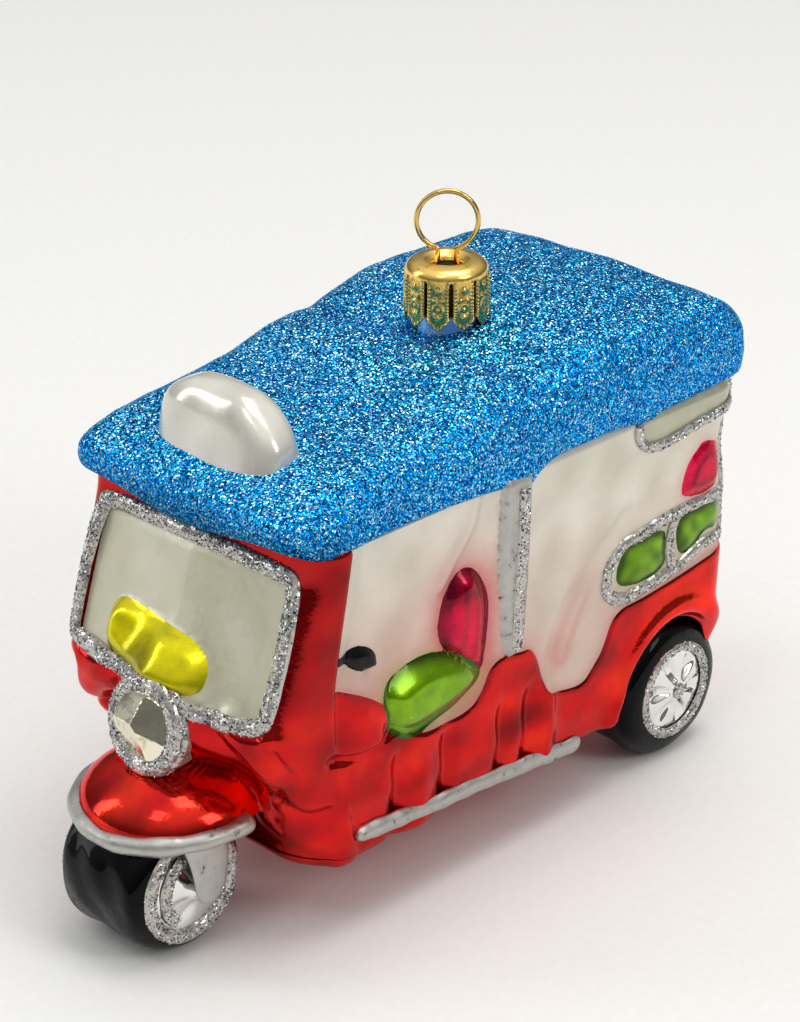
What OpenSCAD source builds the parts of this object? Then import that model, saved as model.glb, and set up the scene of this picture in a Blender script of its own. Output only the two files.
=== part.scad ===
// Glass ornament in the shape of a small three-wheeled taxi.
// Millimetres, +Z up, the nose faces -Y, and the wheels stand on z = 0.
// The figure is one blown piece, shown as the pieces it is moulded and lacquered as.
// A sprung metal cap sits on the glass neck, and a wire loop turns in the cap.

/* [Body] */
// Length from the rim of the front fender to the back of the rear tyres
body_l = 120; // [112:1:146]
// Width of the cab under the roof, at mid length
cab_w = 51.2; // [48:0.2:62]
// Height of the roof's lower edge above the ground
eave_z = 65; // [60:0.5:80]
// Height of the floor's underside above the ground
floor_z = 12; // [10:0.5:14]
// Lean of each side wall, inwards going down, in degrees
wall_lean = 2.9; // [1:0.1:4]
// Spread of each side wall, outwards going back, in degrees
wall_flare = 1.7; // [0.5:0.1:2.5]
// Rounding of the two rear corners of the cab
rear_corner_r = 6; // [3:0.5:9]
// Length of the driver's bay, from the front panel to the pillar
bay_l = 36.3; // [32:0.1:46]
// Depth of the driver's bay in the wall
bay_depth = 1.2; // [0.6:0.1:2]
// Height of the tub's top edge in the driver's bay
tub_z = 29; // [26:0.5:31]
// Height of the top of the passenger's step
step_z = 23.5; // [21:0.5:25]
// Height of the red lower body at the back
belt_z = 35; // [34:0.5:37]

/* [Roof] */
// Width of the roof at its back end
roof_w = 57; // [55:0.5:68]
// Narrowing of each side of the roof, going forward, in degrees
roof_taper = 2.7; // [1.5:0.1:4]
// Height of the roof over its lower edge at the front
roof_front_h = 6.5; // [5:0.5:9]
// Height of the roof over its lower edge at the pillar
roof_mid_h = 10.5; // [9:0.5:13]
// Height of the roof over its lower edge behind the neck
roof_rear_h = 15.2; // [14:0.2:18]
// Rounding of the roof's long edges
roof_edge_r = 5; // [3:0.5:6]
// Rounding of the roof's corners, seen from above
roof_corner_r = 8; // [4:0.5:11]
// Reach of the roof's lip past the windscreen's head
roof_lip = 5.5; // [3:0.5:8]
// Droop of the roof's lip below its lower edge
lip_droop = 2.4; // [1:0.1:3]

/* [Roof sign] */
// Width of the blank roof sign at its foot
sign_w = 26; // [20:1:32]
// Thickness of the roof sign at its foot
sign_d = 11; // [8:0.5:13]
// Height of the roof sign over the roof's lower edge at the front
sign_h = 18.5; // [15:0.5:22]

/* [Windscreen] */
// Height of the windscreen's foot above the ground
screen_foot_z = 39.4; // [37:0.2:41]
// Slant of the windscreen from upright, in degrees
screen_slant = 18; // [12:0.5:22]
// Width over the windscreen's beaded frame
screen_w = 43; // [34:0.5:45]
// Height over the beaded frame, along the slant
screen_h = 23.6; // [19:0.2:24]
// Width of the frame's bead
screen_bead = 2.8; // [1.5:0.1:4]
// Thickness of the windscreen pane
pane_t = 0.8; // [0.4:0.1:1.5]
// Height of the bead over the front panel
bead_t = 1.6; // [1:0.1:2.5]
// Width of the blank number panel
plate_w = 21; // [16:0.5:25]
// Height of the blank number panel, along the slant
plate_h = 8; // [6:0.5:10]
// Thickness of the number panel
plate_t = 2.4; // [1.8:0.1:3]

/* [Headlamp] */
// Diameter of the headlamp's beaded housing
lamp_d = 15; // [12:0.5:17]
// Diameter of the headlamp's lens
lens_d = 9.8; // [7:0.2:11]
// Height of the lamp's centre above the ground
lamp_z = 34.8; // [32:0.2:36]
// Reach of the lamp's face past the windscreen's foot
lamp_reach = 7; // [5:0.5:9]
// Upward tilt of the lamp, in degrees
lamp_tilt = 12; // [0:1:16]

/* [Front fender and fork] */
// Radius of the fender's rim, to the middle of its tube
fender_r = 15; // [13:0.5:17]
// Diameter of the fender's rim tube
rim_d = 3; // [2:0.2:4]
// Height of the fender's rim above the ground
fender_z = 21; // [20:0.5:23]
// Depth of the dome's centre under the rim
dome_sink = 4.5; // [3:0.5:7]
// Width of each fork blade at its widest
fork_w = 8; // [6:0.2:9]
// Thickness of each fork blade
fork_t = 1.8; // [1.2:0.1:2.4]

/* [Wheels] */
// Diameter of the front tyre
front_d = 22.8; // [21:0.2:24]
// Width of the front tyre
front_w = 18; // [14:0.5:20]
// Distance from the fender's rim back to the front axle
front_axle_in = 14; // [13:0.5:16]
// Diameter of the rear tyres
rear_d = 24.2; // [21:0.2:25]
// Width of each rear tyre
rear_w = 12; // [9:0.5:13]
// Width over the outer faces of the rear tyres
rear_track = 48; // [44:0.5:52]
// Rounding of the tyres' shoulders
tyre_r = 3; // [1.5:0.5:3.5]
// Diameter of the front hubs
front_hub_d = 14.6; // [11:0.2:15]
// Diameter of the rear hubs
rear_hub_d = 13.8; // [11:0.2:15]
// Height of the front hubs over the tyre's side
hub_bulge = 1.5; // [0.5:0.1:2]
// Depth of each hub's seat in the tyre
hub_seat = 1.5; // [1:0.1:2.5]
// Width of the beaded ring around each hub
ring_band = 1.7; // [1:0.1:2]
// Thickness of the beaded ring
ring_t = 0.8; // [0.5:0.1:1.2]
// Gap between a rear tyre and its arch
arch_gap = 2.1; // [1.5:0.1:3]

/* [Side details] */
// Thickness of the sill pipe over the wall
sill_t = 1.8; // [1:0.1:2.5]
// Height of the sill pipe
sill_h = 3.4; // [2.5:0.1:4]
// Width of the pillar under the roof
pillar_w = 6.3; // [5:0.1:8]
// Thickness of the pillar over the wall
pillar_t = 1.4; // [0.8:0.1:2]
// Width of every bead line on the sides
line_w = 2.2; // [1.5:0.1:2.6]
// Height of every bead line over what carries it
line_t = 0.8; // [0.5:0.1:1.2]
// Thickness of the seats moulded on the wall
seat_t = 1.6; // [1:0.1:2.4]
// Thickness of the rear window band over the wall
band_t = 0.5; // [0.3:0.1:1]
// Height of the rear window band
band_h = 5; // [3:0.5:6]
// Height of the passenger rail's top line above the belt
rail_h = 10; // [8:0.5:12]

/* [Neck, cap and loop] */
// Distance of the neck behind mid length
neck_y = 18.1; // [10:0.1:26]
// Outer diameter of the glass neck
neck_d = 9.6; // [8.4:0.2:10.8]
// Wall of the glass neck
neck_wall = 1; // [0.8:0.1:1.2]
// Height of the neck's rim above the roof's top
neck_h = 9.9; // [7:0.1:11]
// Depth of the neck's bore under the roof's top
bore_depth = 7; // [5:0.5:9]
// Outer diameter of the cap
cap_d = 13.4; // [12.8:0.2:15]
// Thickness of the cap's sheet
cap_t = 0.4; // [0.3:0.05:0.6]
// Height of the cap from its petal tips to its top
cap_h = 9.8; // [8:0.2:11]
// Number of petals around the cap's edge
petals = 10; // [8:1:14]
// Height of the notch between two petals
petal_h = 2; // [1:0.2:3]
// Gap between the neck's rim and the cap
cap_gap = 0.1; // [0.05:0.05:0.3]
// Wire diameter of the loop
wire_d = 0.8; // [0.6:0.05:0.9]
// Outside diameter of the loop
loop_d = 10.1; // [9:0.1:13]
// Distance between the middles of the loop's legs where they leave the ring
leg_gap = 2.6; // [2:0.1:3.2]
// Gap between the loop's wire and the hole or bore it turns in
wire_gap = 0.3; // [0.2:0.05:0.5]
// Turn of the loop about the neck, in degrees
loop_turn = 43.6; // [-90:0.1:90]

/* [Hidden] */
$fn = 48;
far = 200;
front_y = -body_l / 2;
rear_y = body_l / 2;
// Stations along the body
front_axle_y = front_y + front_axle_in;
rear_axle_y = rear_y - rear_d / 2;
fender_y = front_y + fender_r + rim_d / 2;
nose_l = 20.6;
screen_y = front_y + nose_l;
panel_y = screen_y + 8.6;
pillar_y = panel_y + bay_l;
rear_wall_y = rear_y - 2.2;
roof_back_y = rear_y - 0.5;
rear_seat_y = rear_wall_y - 8.9;
screen_head_y = screen_y + (eave_z - screen_foot_z) * tan(screen_slant);
lip_y = screen_head_y - roof_lip;
// The nose bulges forward under the windscreen's foot
bulge_y = screen_y - 2.3;
bulge_z = screen_foot_z - 2.4;
apron_y = screen_y + 6.4;
apron_slant = atan((apron_y - bulge_y) / (bulge_z - floor_z));
// Heights of the roof
roof_top_z = eave_z + roof_rear_h;
roof_rise = atan((roof_rear_h - roof_front_h) / (neck_y + 8 - lip_y - 3));
// Cap and loop
rim_z = roof_top_z - 1 + neck_h;
cap_top_z = rim_z + cap_gap + cap_t;
bore_z = roof_top_z - 1 - bore_depth;
loop_r = (loop_d - wire_d) / 2;
leg_x = leg_gap / 2;
leg_z = sqrt(loop_r * loop_r - leg_x * leg_x);
loop_z = cap_top_z + 1.4 + leg_z;
bore_r = neck_d / 2 - neck_wall;
foot_x = bore_r - wire_gap - wire_d / 2;
leg_drop = loop_z - leg_z - bore_z - 1.2;
splay = atan((foot_x - leg_x) / leg_drop);
hole_r = leg_x + tan(splay) * 2.4 + wire_d / 2 + wire_gap;
// The cap's shoulder stays clear of the neck's rim
shoulder_r = min(1.6, (cap_d - neck_d) / 2 - 0.2);
petal_notch = PI * cap_d / petals / 2 * 1.3;

roof_blue = "#1c6fd0";
candy_red = "#d8202a";
pearl = "#ecebe6";
silver = "#c9cacc";
glitter = "#d9dbe0";
gold = "#d9a93c";

// Points on an arc about c, from angle a0 to a1
function arc(c, r, a0, a1, n = 8) =
    [for (i = [0 : n]) let (a = a0 + (a1 - a0) * i / n) [c[0] + r * cos(a), c[1] + r * sin(a)]];

// Spreads a side outline, drawn as [y, z], across the width
module across(w = far) rotate([90, 0, 90]) linear_extrude(w, center = true) children();

// Spreads a side outline over one half: side = 1 is the vehicle's left (+X)
module half(side) translate([side * far / 2, 0, 0]) across(far) children();

// Both halves of what is modelled on the vehicle's left
module both() {
    children();
    mirror([1, 0, 0]) children();
}

// Space inside the vehicle's left wall
module left_of_wall(grow)
    translate([cab_w / 2 + grow, 0, eave_z])
        rotate([0, wall_lean, -wall_flare])
            translate([-far, -far / 2, -far / 2]) cube(far);

// Space inside both leaning walls and the rounded back of the cab
module cab_space(grow = 0) {
    half_w = cab_w / 2 + tan(wall_flare) * rear_wall_y + grow;
    back = rear_wall_y + grow;
    r = rear_corner_r + grow;
    intersection() {
        left_of_wall(grow);
        mirror([1, 0, 0]) left_of_wall(grow);
        linear_extrude(far) polygon(concat(
            [[-half_w, -far], [half_w, -far]],
            arc([half_w - r, back - r], r, 0, 90),
            arc([r - half_w, back - r], r, 90, 180)));
    }
}

// A plate of thickness t with the given side outline, on one wall and round the back
module on_wall(t, side, base = 0)
    difference() {
        intersection() {
            half(side) children();
            cab_space(base + t);
        }
        cab_space(base);
    }

// --- Side outlines, [y, z] ---

module roof_side()
    polygon([
        [lip_y, eave_z + 1], [lip_y + 1, eave_z - 1.2], [lip_y + 3, eave_z - lip_droop],
        [screen_head_y + 3, eave_z - 1.3], [pillar_y - 8, eave_z - 0.5],
        [pillar_y - 2, eave_z - 1], [pillar_y + 2.4, eave_z - 2.6],
        [pillar_y + 6, eave_z + 0.5], [rear_axle_y - 19, eave_z + 1],
        [roof_back_y, eave_z + 2], [roof_back_y, eave_z + 11],
        [roof_back_y - 3, eave_z + roof_rear_h - 1.8], [roof_back_y - 9, eave_z + roof_rear_h - 0.6],
        [neck_y + 8, eave_z + roof_rear_h], [neck_y, eave_z + roof_rear_h - 1],
        [neck_y - 6, eave_z + roof_mid_h + 2.4], [pillar_y - 2, eave_z + roof_mid_h + 2.2],
        [pillar_y - 10, eave_z + roof_mid_h], [screen_head_y + 8, eave_z + roof_front_h + 2.4],
        [screen_head_y + 2, eave_z + roof_front_h + 1.4], [lip_y + 3, eave_z + roof_front_h],
        [lip_y + 0.5, eave_z + roof_front_h - 2.5]]);

module front_side()
    difference() {
        polygon([
            [screen_head_y + 3 * tan(screen_slant), eave_z + 3], [screen_y, screen_foot_z],
            [bulge_y, bulge_z], [screen_y - 0.9, screen_foot_z - 6.8],
            [screen_y + 3.8, screen_foot_z - 13.4], [apron_y, floor_z + 0.5],
            [panel_y + 4, floor_z + 0.5], [panel_y + 5, floor_z + 2],
            [panel_y + 4, floor_z + 6], [panel_y + 1.7, floor_z + 14],
            [panel_y + 0.4, floor_z + 23], [panel_y, floor_z + 31.5],
            [panel_y + 0.7, eave_z - 15], [panel_y + 2.9, eave_z + 3]]);
        roof_side();
    }

module red_side()
    difference() {
        polygon([
            [panel_y - 1, floor_z + 1], [panel_y + 4, floor_z],
            [rear_axle_y + 20, floor_z], [rear_axle_y + 20, belt_z + 2],
            [rear_axle_y - 2, belt_z - 0.5], [rear_axle_y - 12, belt_z - 1.5],
            [rear_axle_y - 18, belt_z - 1.2], [rear_axle_y - 20.5, step_z + 4.2],
            [rear_axle_y - 24.5, step_z], [pillar_y + 10, step_z],
            [pillar_y + 8.5, step_z + 4.5], [pillar_y + 6.6, tub_z + 3.7],
            [pillar_y + 5, tub_z + 5.7], [pillar_y - 1.5, tub_z + 6.6],
            [pillar_y - 4, tub_z + 5.4], [pillar_y - 5.3, tub_z + 2.2],
            [pillar_y - 7.5, tub_z], [panel_y + 18, tub_z],
            [panel_y + 12.5, tub_z + 2.5], [panel_y + 11, tub_z + 4.5],
            [panel_y + 11, tub_z + 6.5], [panel_y + 6.5, tub_z + 11],
            [panel_y - 1, tub_z + 15]]);
        front_side();
        arch_side();
        belly_notch();
    }

module arch_side()
    translate([rear_axle_y - 2.5, rear_d / 2]) circle(rear_d / 2 + arch_gap);

// The body ends above the tyre's rear quarter
module belly_notch()
    translate([rear_axle_y + 6, 0]) square([40, floor_z + 5]);

module bay_side()
    polygon([
        [panel_y + 3.5, eave_z - 4], [panel_y + 1.5, tub_z + 18], [panel_y + 13, tub_z + 4],
        [pillar_y - 7, tub_z + 1.5], [pillar_y - 4.5, tub_z + 7], [pillar_y - 4, eave_z - 4]]);

module pillar_side()
    difference() {
        polygon([
            [pillar_y - pillar_w / 2, eave_z + 3], [pillar_y - pillar_w / 4, tub_z + 4],
            [pillar_y + pillar_w / 4, tub_z + 4], [pillar_y + pillar_w / 2, eave_z + 3]]);
        red_side();
        roof_side();
    }

module backrest_side() {
    x0 = pillar_y - 8.6;
    difference() {
        polygon([
            [x0 - 3.4, tub_z + 20], [x0 - 5, tub_z + 12], [x0 - 3, tub_z + 7],
            [x0 + 3, tub_z + 4], [x0 + 4.3, tub_z + 10], [x0 + 4.2, tub_z + 17],
            [x0 + 2.6, tub_z + 21], [x0, tub_z + 22.9]]);
        cushion_side();
        red_side();
    }
}

module cushion_side() {
    x0 = pillar_y - 5.8;
    difference() {
        polygon([
            [x0, tub_z + 2], [x0 - 5, tub_z + 9], [x0 - 9, tub_z + 11.8],
            [x0 - 13.6, tub_z + 12.8], [x0 - 18, tub_z + 11], [x0 - 20, tub_z + 8],
            [x0 - 19, tub_z + 3]]);
        red_side();
    }
}

module grip_side()
    translate([panel_y + 5, belt_z + 11])
        rotate(-16) {
            square([5.6, 2.6], center = true);
            for (e = [-1, 1]) translate([e * 2.8, 0]) circle(1.3);
        }

module band_side()
    difference() {
        polygon([
            [rear_axle_y - 15, eave_z + 3], [rear_axle_y - 13, eave_z + 1.2 - band_h],
            [rear_y + 9, eave_z + 1.2 - band_h], [rear_y + 9, eave_z + 3]]);
        roof_side();
    }

module band_line_side()
    difference() {
        polygon([
            [rear_axle_y - 15 - line_w, eave_z + 3],
            [rear_axle_y - 13 - line_w / 2, eave_z + 1.2 - band_h - line_w],
            [rear_y + 9, eave_z + 1.2 - band_h - line_w], [rear_y + 9, eave_z + 3]]);
        band_side();
        roof_side();
    }

// The rail's outline, grown or shrunk by d
module rail_loop(d)
    polygon([
        [rear_axle_y - 19 - d, belt_z + 2 - d], [rear_y + 9, belt_z + 1.5 - d],
        [rear_y + 9, belt_z + rail_h + 0.5 + d], [rear_axle_y - 10, belt_z + rail_h + 0.5 + d],
        [rear_axle_y - 17 - d, belt_z + rail_h - 2 + d]]);

module rail_side()
    difference() {
        union() {
            difference() {
                rail_loop(line_w / 2);
                rail_loop(-line_w / 2);
            }
            translate([rear_axle_y - 6 - line_w / 2, belt_z + 1]) square([line_w, rail_h]);
            translate([rear_wall_y - 4 - line_w / 2, belt_z + rail_h])
                square([line_w, eave_z + 1.2 - band_h - line_w - belt_z - rail_h]);
        }
        red_side();
    }

module rear_cushion_side()
    difference() {
        union() {
            translate([rear_axle_y - 16.4, belt_z + 3]) square([8.8, 5.6]);
            translate([rear_axle_y - 4.4, belt_z + 3.4]) square([10.4, 5.8]);
        }
        rail_side();
        red_side();
    }

module rear_backrest_side()
    difference() {
        translate([rear_seat_y, belt_z + rail_h + 6.6])
            intersection() {
                circle(4.9);
                square([9.4, 9], center = true);
            }
        rail_side();
    }

// --- Glass figure ---

// One long edge of the roof, rounded, rising at the given angle from the back
module roof_edge(rise)
    translate([roof_w / 2, neck_y + 8, roof_top_z])
        rotate([rise, 0, -roof_taper])
            translate([tan(roof_taper) * (neck_y + 8 - roof_back_y), 0, 0])
                rotate([90, 0, 0])
                    linear_extrude(far * 2, center = true)
                        polygon(concat(
                            arc([-roof_edge_r, -roof_edge_r], roof_edge_r, 0, 80),
                            [[-far, 1.2], [-far, -far], [0, -far]]));

module roof_solid()
    intersection() {
        across() roof_side();
        roof_plan();
        roof_edge(0);
        mirror([1, 0, 0]) roof_edge(0);
        roof_edge(roof_rise);
        mirror([1, 0, 0]) roof_edge(roof_rise);
    }

// The roof from above, with its four corners rounded
module roof_plan() {
    r = roof_corner_r;
    back = roof_w / 2;
    front = back - tan(roof_taper) * (roof_back_y - lip_y);
    linear_extrude(far) polygon(concat(
        arc([back - r, roof_back_y - r], r, 0, 90),
        arc([r - back, roof_back_y - r], r, 90, 180),
        arc([r - front, lip_y + r], r, 180, 270),
        arc([front - r, lip_y + r], r, 270, 360)));
}

module roof_shell() color(roof_blue)
    difference() {
        roof_solid();
        translate([0, neck_y, bore_z]) cylinder(h = far, r = bore_r);
    }

module roof_sign() color(pearl) {
    y0 = screen_head_y + 4.5;
    top = eave_z + sign_h;
    foot = eave_z + roof_front_h - 1;
    difference() {
        intersection() {
            translate([0, y0, 0]) rotate([90, 0, 0]) linear_extrude(sign_d * 2, center = true)
                polygon(concat(
                    [[-sign_w / 2, foot], [sign_w / 2, foot]],
                    arc([sign_w / 2 - 5.5, top - 4], 4, 20, 90, 4),
                    arc([5.5 - sign_w / 2, top - 4], 4, 90, 160, 4)));
            across(sign_w + 2)
                polygon([
                    [y0 - sign_d / 2, foot], [y0 - sign_d / 2 + 2.5, top - 2], [y0 - 1, top],
                    [y0 + 1, top], [y0 + sign_d / 2 - 2, top - 2.5], [y0 + sign_d / 2, foot]]);
        }
        roof_solid();
    }
}

module cab_shell() color(pearl)
    difference() {
        intersection() {
            cab_space();
            across() difference() {
                translate([panel_y - 0.5, step_z - 0.5]) square([body_l, eave_z]);
                front_side();
                red_side();
                roof_side();
                arch_side();
                above_roof();
            }
        }
        difference() {
            across() bay_side();
            cab_space(-bay_depth);
        }
    }

module above_roof()
    translate([front_y, eave_z + 3]) square([body_l * 1.2, far]);

// The nose seen along a slanted axis, with rounded corners, hinged at the bulge
module nose_space(slant, half_w) {
    r = 6;
    translate([0, bulge_y, bulge_z]) rotate([slant, 0, 0])
        linear_extrude(far, center = true)
            polygon(concat(
                [[half_w, far], [-half_w, far]],
                arc([r - half_w, r], r, 180, 270),
                arc([half_w - r, r], r, 270, 360)));
}

module front_panel() color(candy_red) {
    half_w = cab_w / 2 + tan(wall_flare) * panel_y;
    intersection() {
        across() difference() {
            front_side();
            above_roof();
        }
        cab_space();
        nose_space(-screen_slant, half_w - 0.6);
        nose_space(apron_slant, half_w - 1.4);
    }
}

// Places a drawing on the slanted plane of the windscreen, its foot at y = 0
module on_screen() translate([0, screen_y, screen_foot_z]) rotate([90 - screen_slant, 0, 0]) children();

module screen_outline(inset)
    difference() {
        translate([0, screen_h / 2]) square([screen_w - 2 * inset, screen_h - 2 * inset], center = true);
        for (s = [-1, 1])
            translate([s * (screen_w / 2 - inset), screen_h - inset])
                rotate(45) square(4, center = true);
    }

module plate_outline()
    translate([-3.9, screen_bead + plate_h / 2])
        intersection() {
            square([plate_w, plate_h], center = true);
            rotate(45) square((plate_w + plate_h) * 0.63, center = true);
        }

module windscreen() color("#d8d6cf")
    on_screen() linear_extrude(pane_t) difference() {
        screen_outline(screen_bead);
        plate_outline();
    }

module windscreen_frame() color(glitter)
    difference() {
        on_screen() linear_extrude(bead_t) difference() {
            screen_outline(0);
            screen_outline(screen_bead);
        }
        lamp_body();
        roof_solid();
    }

module number_panel() color("#f0d820")
    on_screen() linear_extrude(plate_t) plate_outline();

// Places the headlamp along its axis: z = 0 is its face, and it reaches into the nose
module on_lamp() translate([0, screen_y - lamp_reach, lamp_z]) rotate([90 - lamp_tilt, 0, 0]) children();

module lamp_body()
    on_lamp() rotate_extrude() polygon([
        [0, -lamp_reach - 4], [lamp_d / 2, -lamp_reach - 4], [lamp_d / 2, -1.6],
        [lamp_d / 2 - 0.8, -0.4], [lamp_d / 2 - 1.6, 0], [0, 0]]);

module headlamp_housing() color(glitter)
    difference() {
        lamp_body();
        on_lamp() translate([0, 0, -2]) cylinder(h = 10, d = lens_d);
        across() front_side();
    }

module headlamp_lens() color("#eceef0")
    on_lamp() rotate_extrude() polygon([
        [0, -2], [lens_d / 2, -2], [lens_d / 2, 0.2], [lens_d / 2 - 1.4, 1.4], [0, 2]]);

module front_fender() color(candy_red)
    difference() {
        translate([0, fender_y, fender_z - dome_sink]) sphere(sqrt(fender_r * fender_r + dome_sink * dome_sink));
        translate([-far / 2, -far / 2, fender_z - rim_d / 2 - far]) cube(far);
        across() front_side();
        rim_tube(fender_r);
        lamp_body();
        on_lamp() cylinder(h = 3, d = lens_d);
        front_wheel_space();
        translate([-far / 2, panel_y, 0]) cube([far, far, far]);
    }

// The space that the front tyre and its beaded rings fill under the fender
module front_wheel_space()
    translate([0, front_axle_y, front_d / 2]) rotate([0, 90, 0]) {
        cylinder(h = front_w, d = front_d, center = true);
        cylinder(h = front_w + 2 * ring_t, d = front_hub_d + 2 * ring_band, center = true);
    }

module rim_tube(r)
    translate([0, fender_y, fender_z]) rotate([0, 0, -195])
        rotate_extrude(angle = 210) translate([r, 0]) circle(rim_d / 2);

module fender_trim() color(silver)
    difference() {
        rim_tube(fender_r);
        front_wheel_space();
    }

// A leaf-shaped blade from under the fender to just below the axle
module fork(side) color(silver)
    translate([side * (front_w / 2 + hub_bulge + fork_t / 2), front_axle_y, 0])
        rotate([90, 0, 90]) linear_extrude(fork_t, center = true)
            polygon(concat(
                arc([0, front_d / 2 + 0.8], fork_w * 0.34, 200, 340),
                [[fork_w / 2, fender_z - rim_d / 2 - 3.4], [fork_w * 0.46, fender_z - rim_d / 2],
                 [-fork_w * 0.46, fender_z - rim_d / 2], [-fork_w / 2, fender_z - rim_d / 2 - 3.4]]));

module fork_left() fork(1);
module fork_right() fork(-1);

// A tyre about its own axle, width w along X, with round shoulders
module tyre(d, w)
    rotate([0, 90, 0]) rotate_extrude() polygon(concat(
        [[0, -w / 2]],
        arc([d / 2 - tyre_r, tyre_r - w / 2], tyre_r, -90, 0),
        arc([d / 2 - tyre_r, w / 2 - tyre_r], tyre_r, 0, 90),
        [[0, w / 2]]));

module front_tyre() color("#141414")
    translate([0, front_axle_y, front_d / 2]) difference() {
        tyre(front_d, front_w);
        both() translate([front_w / 2 - hub_seat, 0, 0]) rotate([0, 90, 0])
            cylinder(h = far, d = front_hub_d);
    }

module front_hub(side) color(silver)
    translate([side * (front_w / 2 - hub_seat), front_axle_y, front_d / 2]) rotate([0, side * 90, 0])
        rotate_extrude() polygon([
            [0, 0], [front_hub_d / 2, 0], [front_hub_d / 2, hub_seat + 0.4],
            [front_hub_d / 2 - 2, hub_seat + hub_bulge], [0, hub_seat + hub_bulge]]);

module front_hub_left() front_hub(1);
module front_hub_right() front_hub(-1);

// A flat beaded ring on a tyre's side, its back face at x
module hub_ring(x, y, z, d)
    translate([x, y, z]) rotate([0, 90, 0]) difference() {
        cylinder(h = ring_t, d = d + 2 * ring_band);
        translate([0, 0, -1]) cylinder(h = ring_t + 2, d = d);
    }

module front_hub_rings() color(glitter)
    both() hub_ring(front_w / 2, front_axle_y, front_d / 2, front_hub_d);

module lower_body() color(candy_red)
    difference() {
        intersection() {
            cab_space();
            across() red_full();
        }
        both() rear_bay();
    }

// The lower body's outline before the arches are cut
module red_full()
    union() {
        red_side();
        intersection() {
            arch_side();
            translate([0, floor_z]) square([rear_wall_y, far]);
        }
        translate([rear_axle_y - 10, floor_z]) square([rear_wall_y - rear_axle_y + 10, 8]);
    }

// The space a rear wheel turns in, from the wheel's inner face outwards
module rear_bay()
    translate([rear_track / 2 - rear_w, 0, 0]) rotate([90, 0, 90]) linear_extrude(far)
        union() {
            arch_side();
            belly_notch();
        }

module sill_side()
    polygon([
        [panel_y + 5, floor_z + 7], [pillar_y - 17, floor_z + 7], [pillar_y, floor_z + 4],
        [rear_axle_y - 24, floor_z + 2.6], [rear_axle_y - 16, floor_z + 1.8],
        [rear_axle_y - 18, floor_z + 1.8 - sill_h + 1], [rear_axle_y - 24, floor_z + 2.6 - sill_h],
        [pillar_y, floor_z + 4 - sill_h], [pillar_y - 17, floor_z + 7 - sill_h],
        [panel_y + 5.4, floor_z + 7 - sill_h]]);

module sill_left() color(silver) on_wall(sill_t, 1) sill_side();
module sill_right() color(silver) on_wall(sill_t, -1) sill_side();
module pillar_left() color(silver) on_wall(pillar_t, 1) pillar_side();
module pillar_right() color(silver) on_wall(pillar_t, -1) pillar_side();

module pillar_glitter() color(glitter)
    for (s = [-1, 1])
        on_wall(line_t, s, pillar_t) intersection() {
            pillar_side();
            translate([pillar_y - line_w / 2, 0]) square([line_w, far]);
        }

// The bay's seats stand on its sunken wall
module on_bay(t) for (s = [-1, 1]) on_wall(t, s, -bay_depth) intersection() {
    children();
    bay_side();
}

module driver_backrests() color("#e0308a") on_bay(seat_t) backrest_side();
module driver_cushions() color("#6fb81f") on_bay(seat_t + 0.4) cushion_side();
module handlebar_grips() color("#151515") on_bay(seat_t + 0.4) grip_side();

module window_band() color("#cfcfca")
    for (s = [-1, 1]) on_wall(band_t, s) band_side();

module window_trim() color(glitter)
    for (s = [-1, 1]) on_wall(line_t, s) band_line_side();

module passenger_rails() color(glitter)
    for (s = [-1, 1]) on_wall(line_t, s) rail_side();

module passenger_backrests() color("#e0308a")
    for (s = [-1, 1]) on_wall(seat_t, s) rear_backrest_side();

module passenger_cushions() color("#6fb81f")
    for (s = [-1, 1]) on_wall(seat_t / 2, s) rear_cushion_side();

module rear_wheel(side)
    translate([side * (rear_track - rear_w) / 2, rear_axle_y, rear_d / 2]) children();

module rear_tyre(side) color("#141414")
    rear_wheel(side) difference() {
        tyre(rear_d, rear_w);
        translate([side * (rear_w / 2 - hub_seat), 0, 0]) rotate([0, side * 90, 0])
            cylinder(h = far, d = rear_hub_d);
    }

module rear_hub(side) color(silver)
    rear_wheel(side) translate([side * (rear_w / 2 - hub_seat), 0, 0]) rotate([0, side * 90, 0])
        rotate_extrude() polygon([
            [0, 0], [rear_hub_d / 2, 0], [rear_hub_d / 2, hub_seat - 0.4],
            [rear_hub_d / 2 - 1.4, hub_seat - 0.9], [2.4, hub_seat - 0.5], [1.6, hub_seat + 0.4],
            [0, hub_seat + 0.4]]);

module rear_tyre_left() rear_tyre(1);
module rear_tyre_right() rear_tyre(-1);
module rear_hub_left() rear_hub(1);
module rear_hub_right() rear_hub(-1);

module rear_hub_rings() color(glitter)
    both() hub_ring(rear_track / 2, rear_axle_y, rear_d / 2, rear_hub_d);

// --- Neck, cap and loop ---

module neck() color("#d8dcdf")
    difference() {
        translate([0, neck_y, roof_top_z - 6]) cylinder(h = rim_z - roof_top_z + 6, d = neck_d);
        roof_solid();
        translate([0, neck_y, bore_z]) cylinder(h = far, r = bore_r);
    }

module crown_cap() color(gold)
    translate([0, neck_y, 0]) difference() {
        rotate_extrude() polygon(concat(
            [[hole_r, cap_top_z - cap_t], [cap_d / 2 - shoulder_r, cap_top_z - cap_t]],
            [[cap_d / 2 - cap_t, cap_top_z - shoulder_r], [cap_d / 2 - cap_t, cap_top_z - cap_h],
             [cap_d / 2, cap_top_z - cap_h]],
            arc([cap_d / 2 - shoulder_r, cap_top_z - shoulder_r], shoulder_r, 0, 90, 6),
            [[hole_r, cap_top_z]]));
        for (i = [0 : petals - 1])
            rotate([0, 0, (i + 0.5) * 360 / petals])
                translate([0, 0, cap_top_z - cap_h]) rotate([90, 0, 90]) linear_extrude(far)
                    polygon([[-petal_notch, -1], [petal_notch, -1], [0, petal_h]]);
    }

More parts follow.
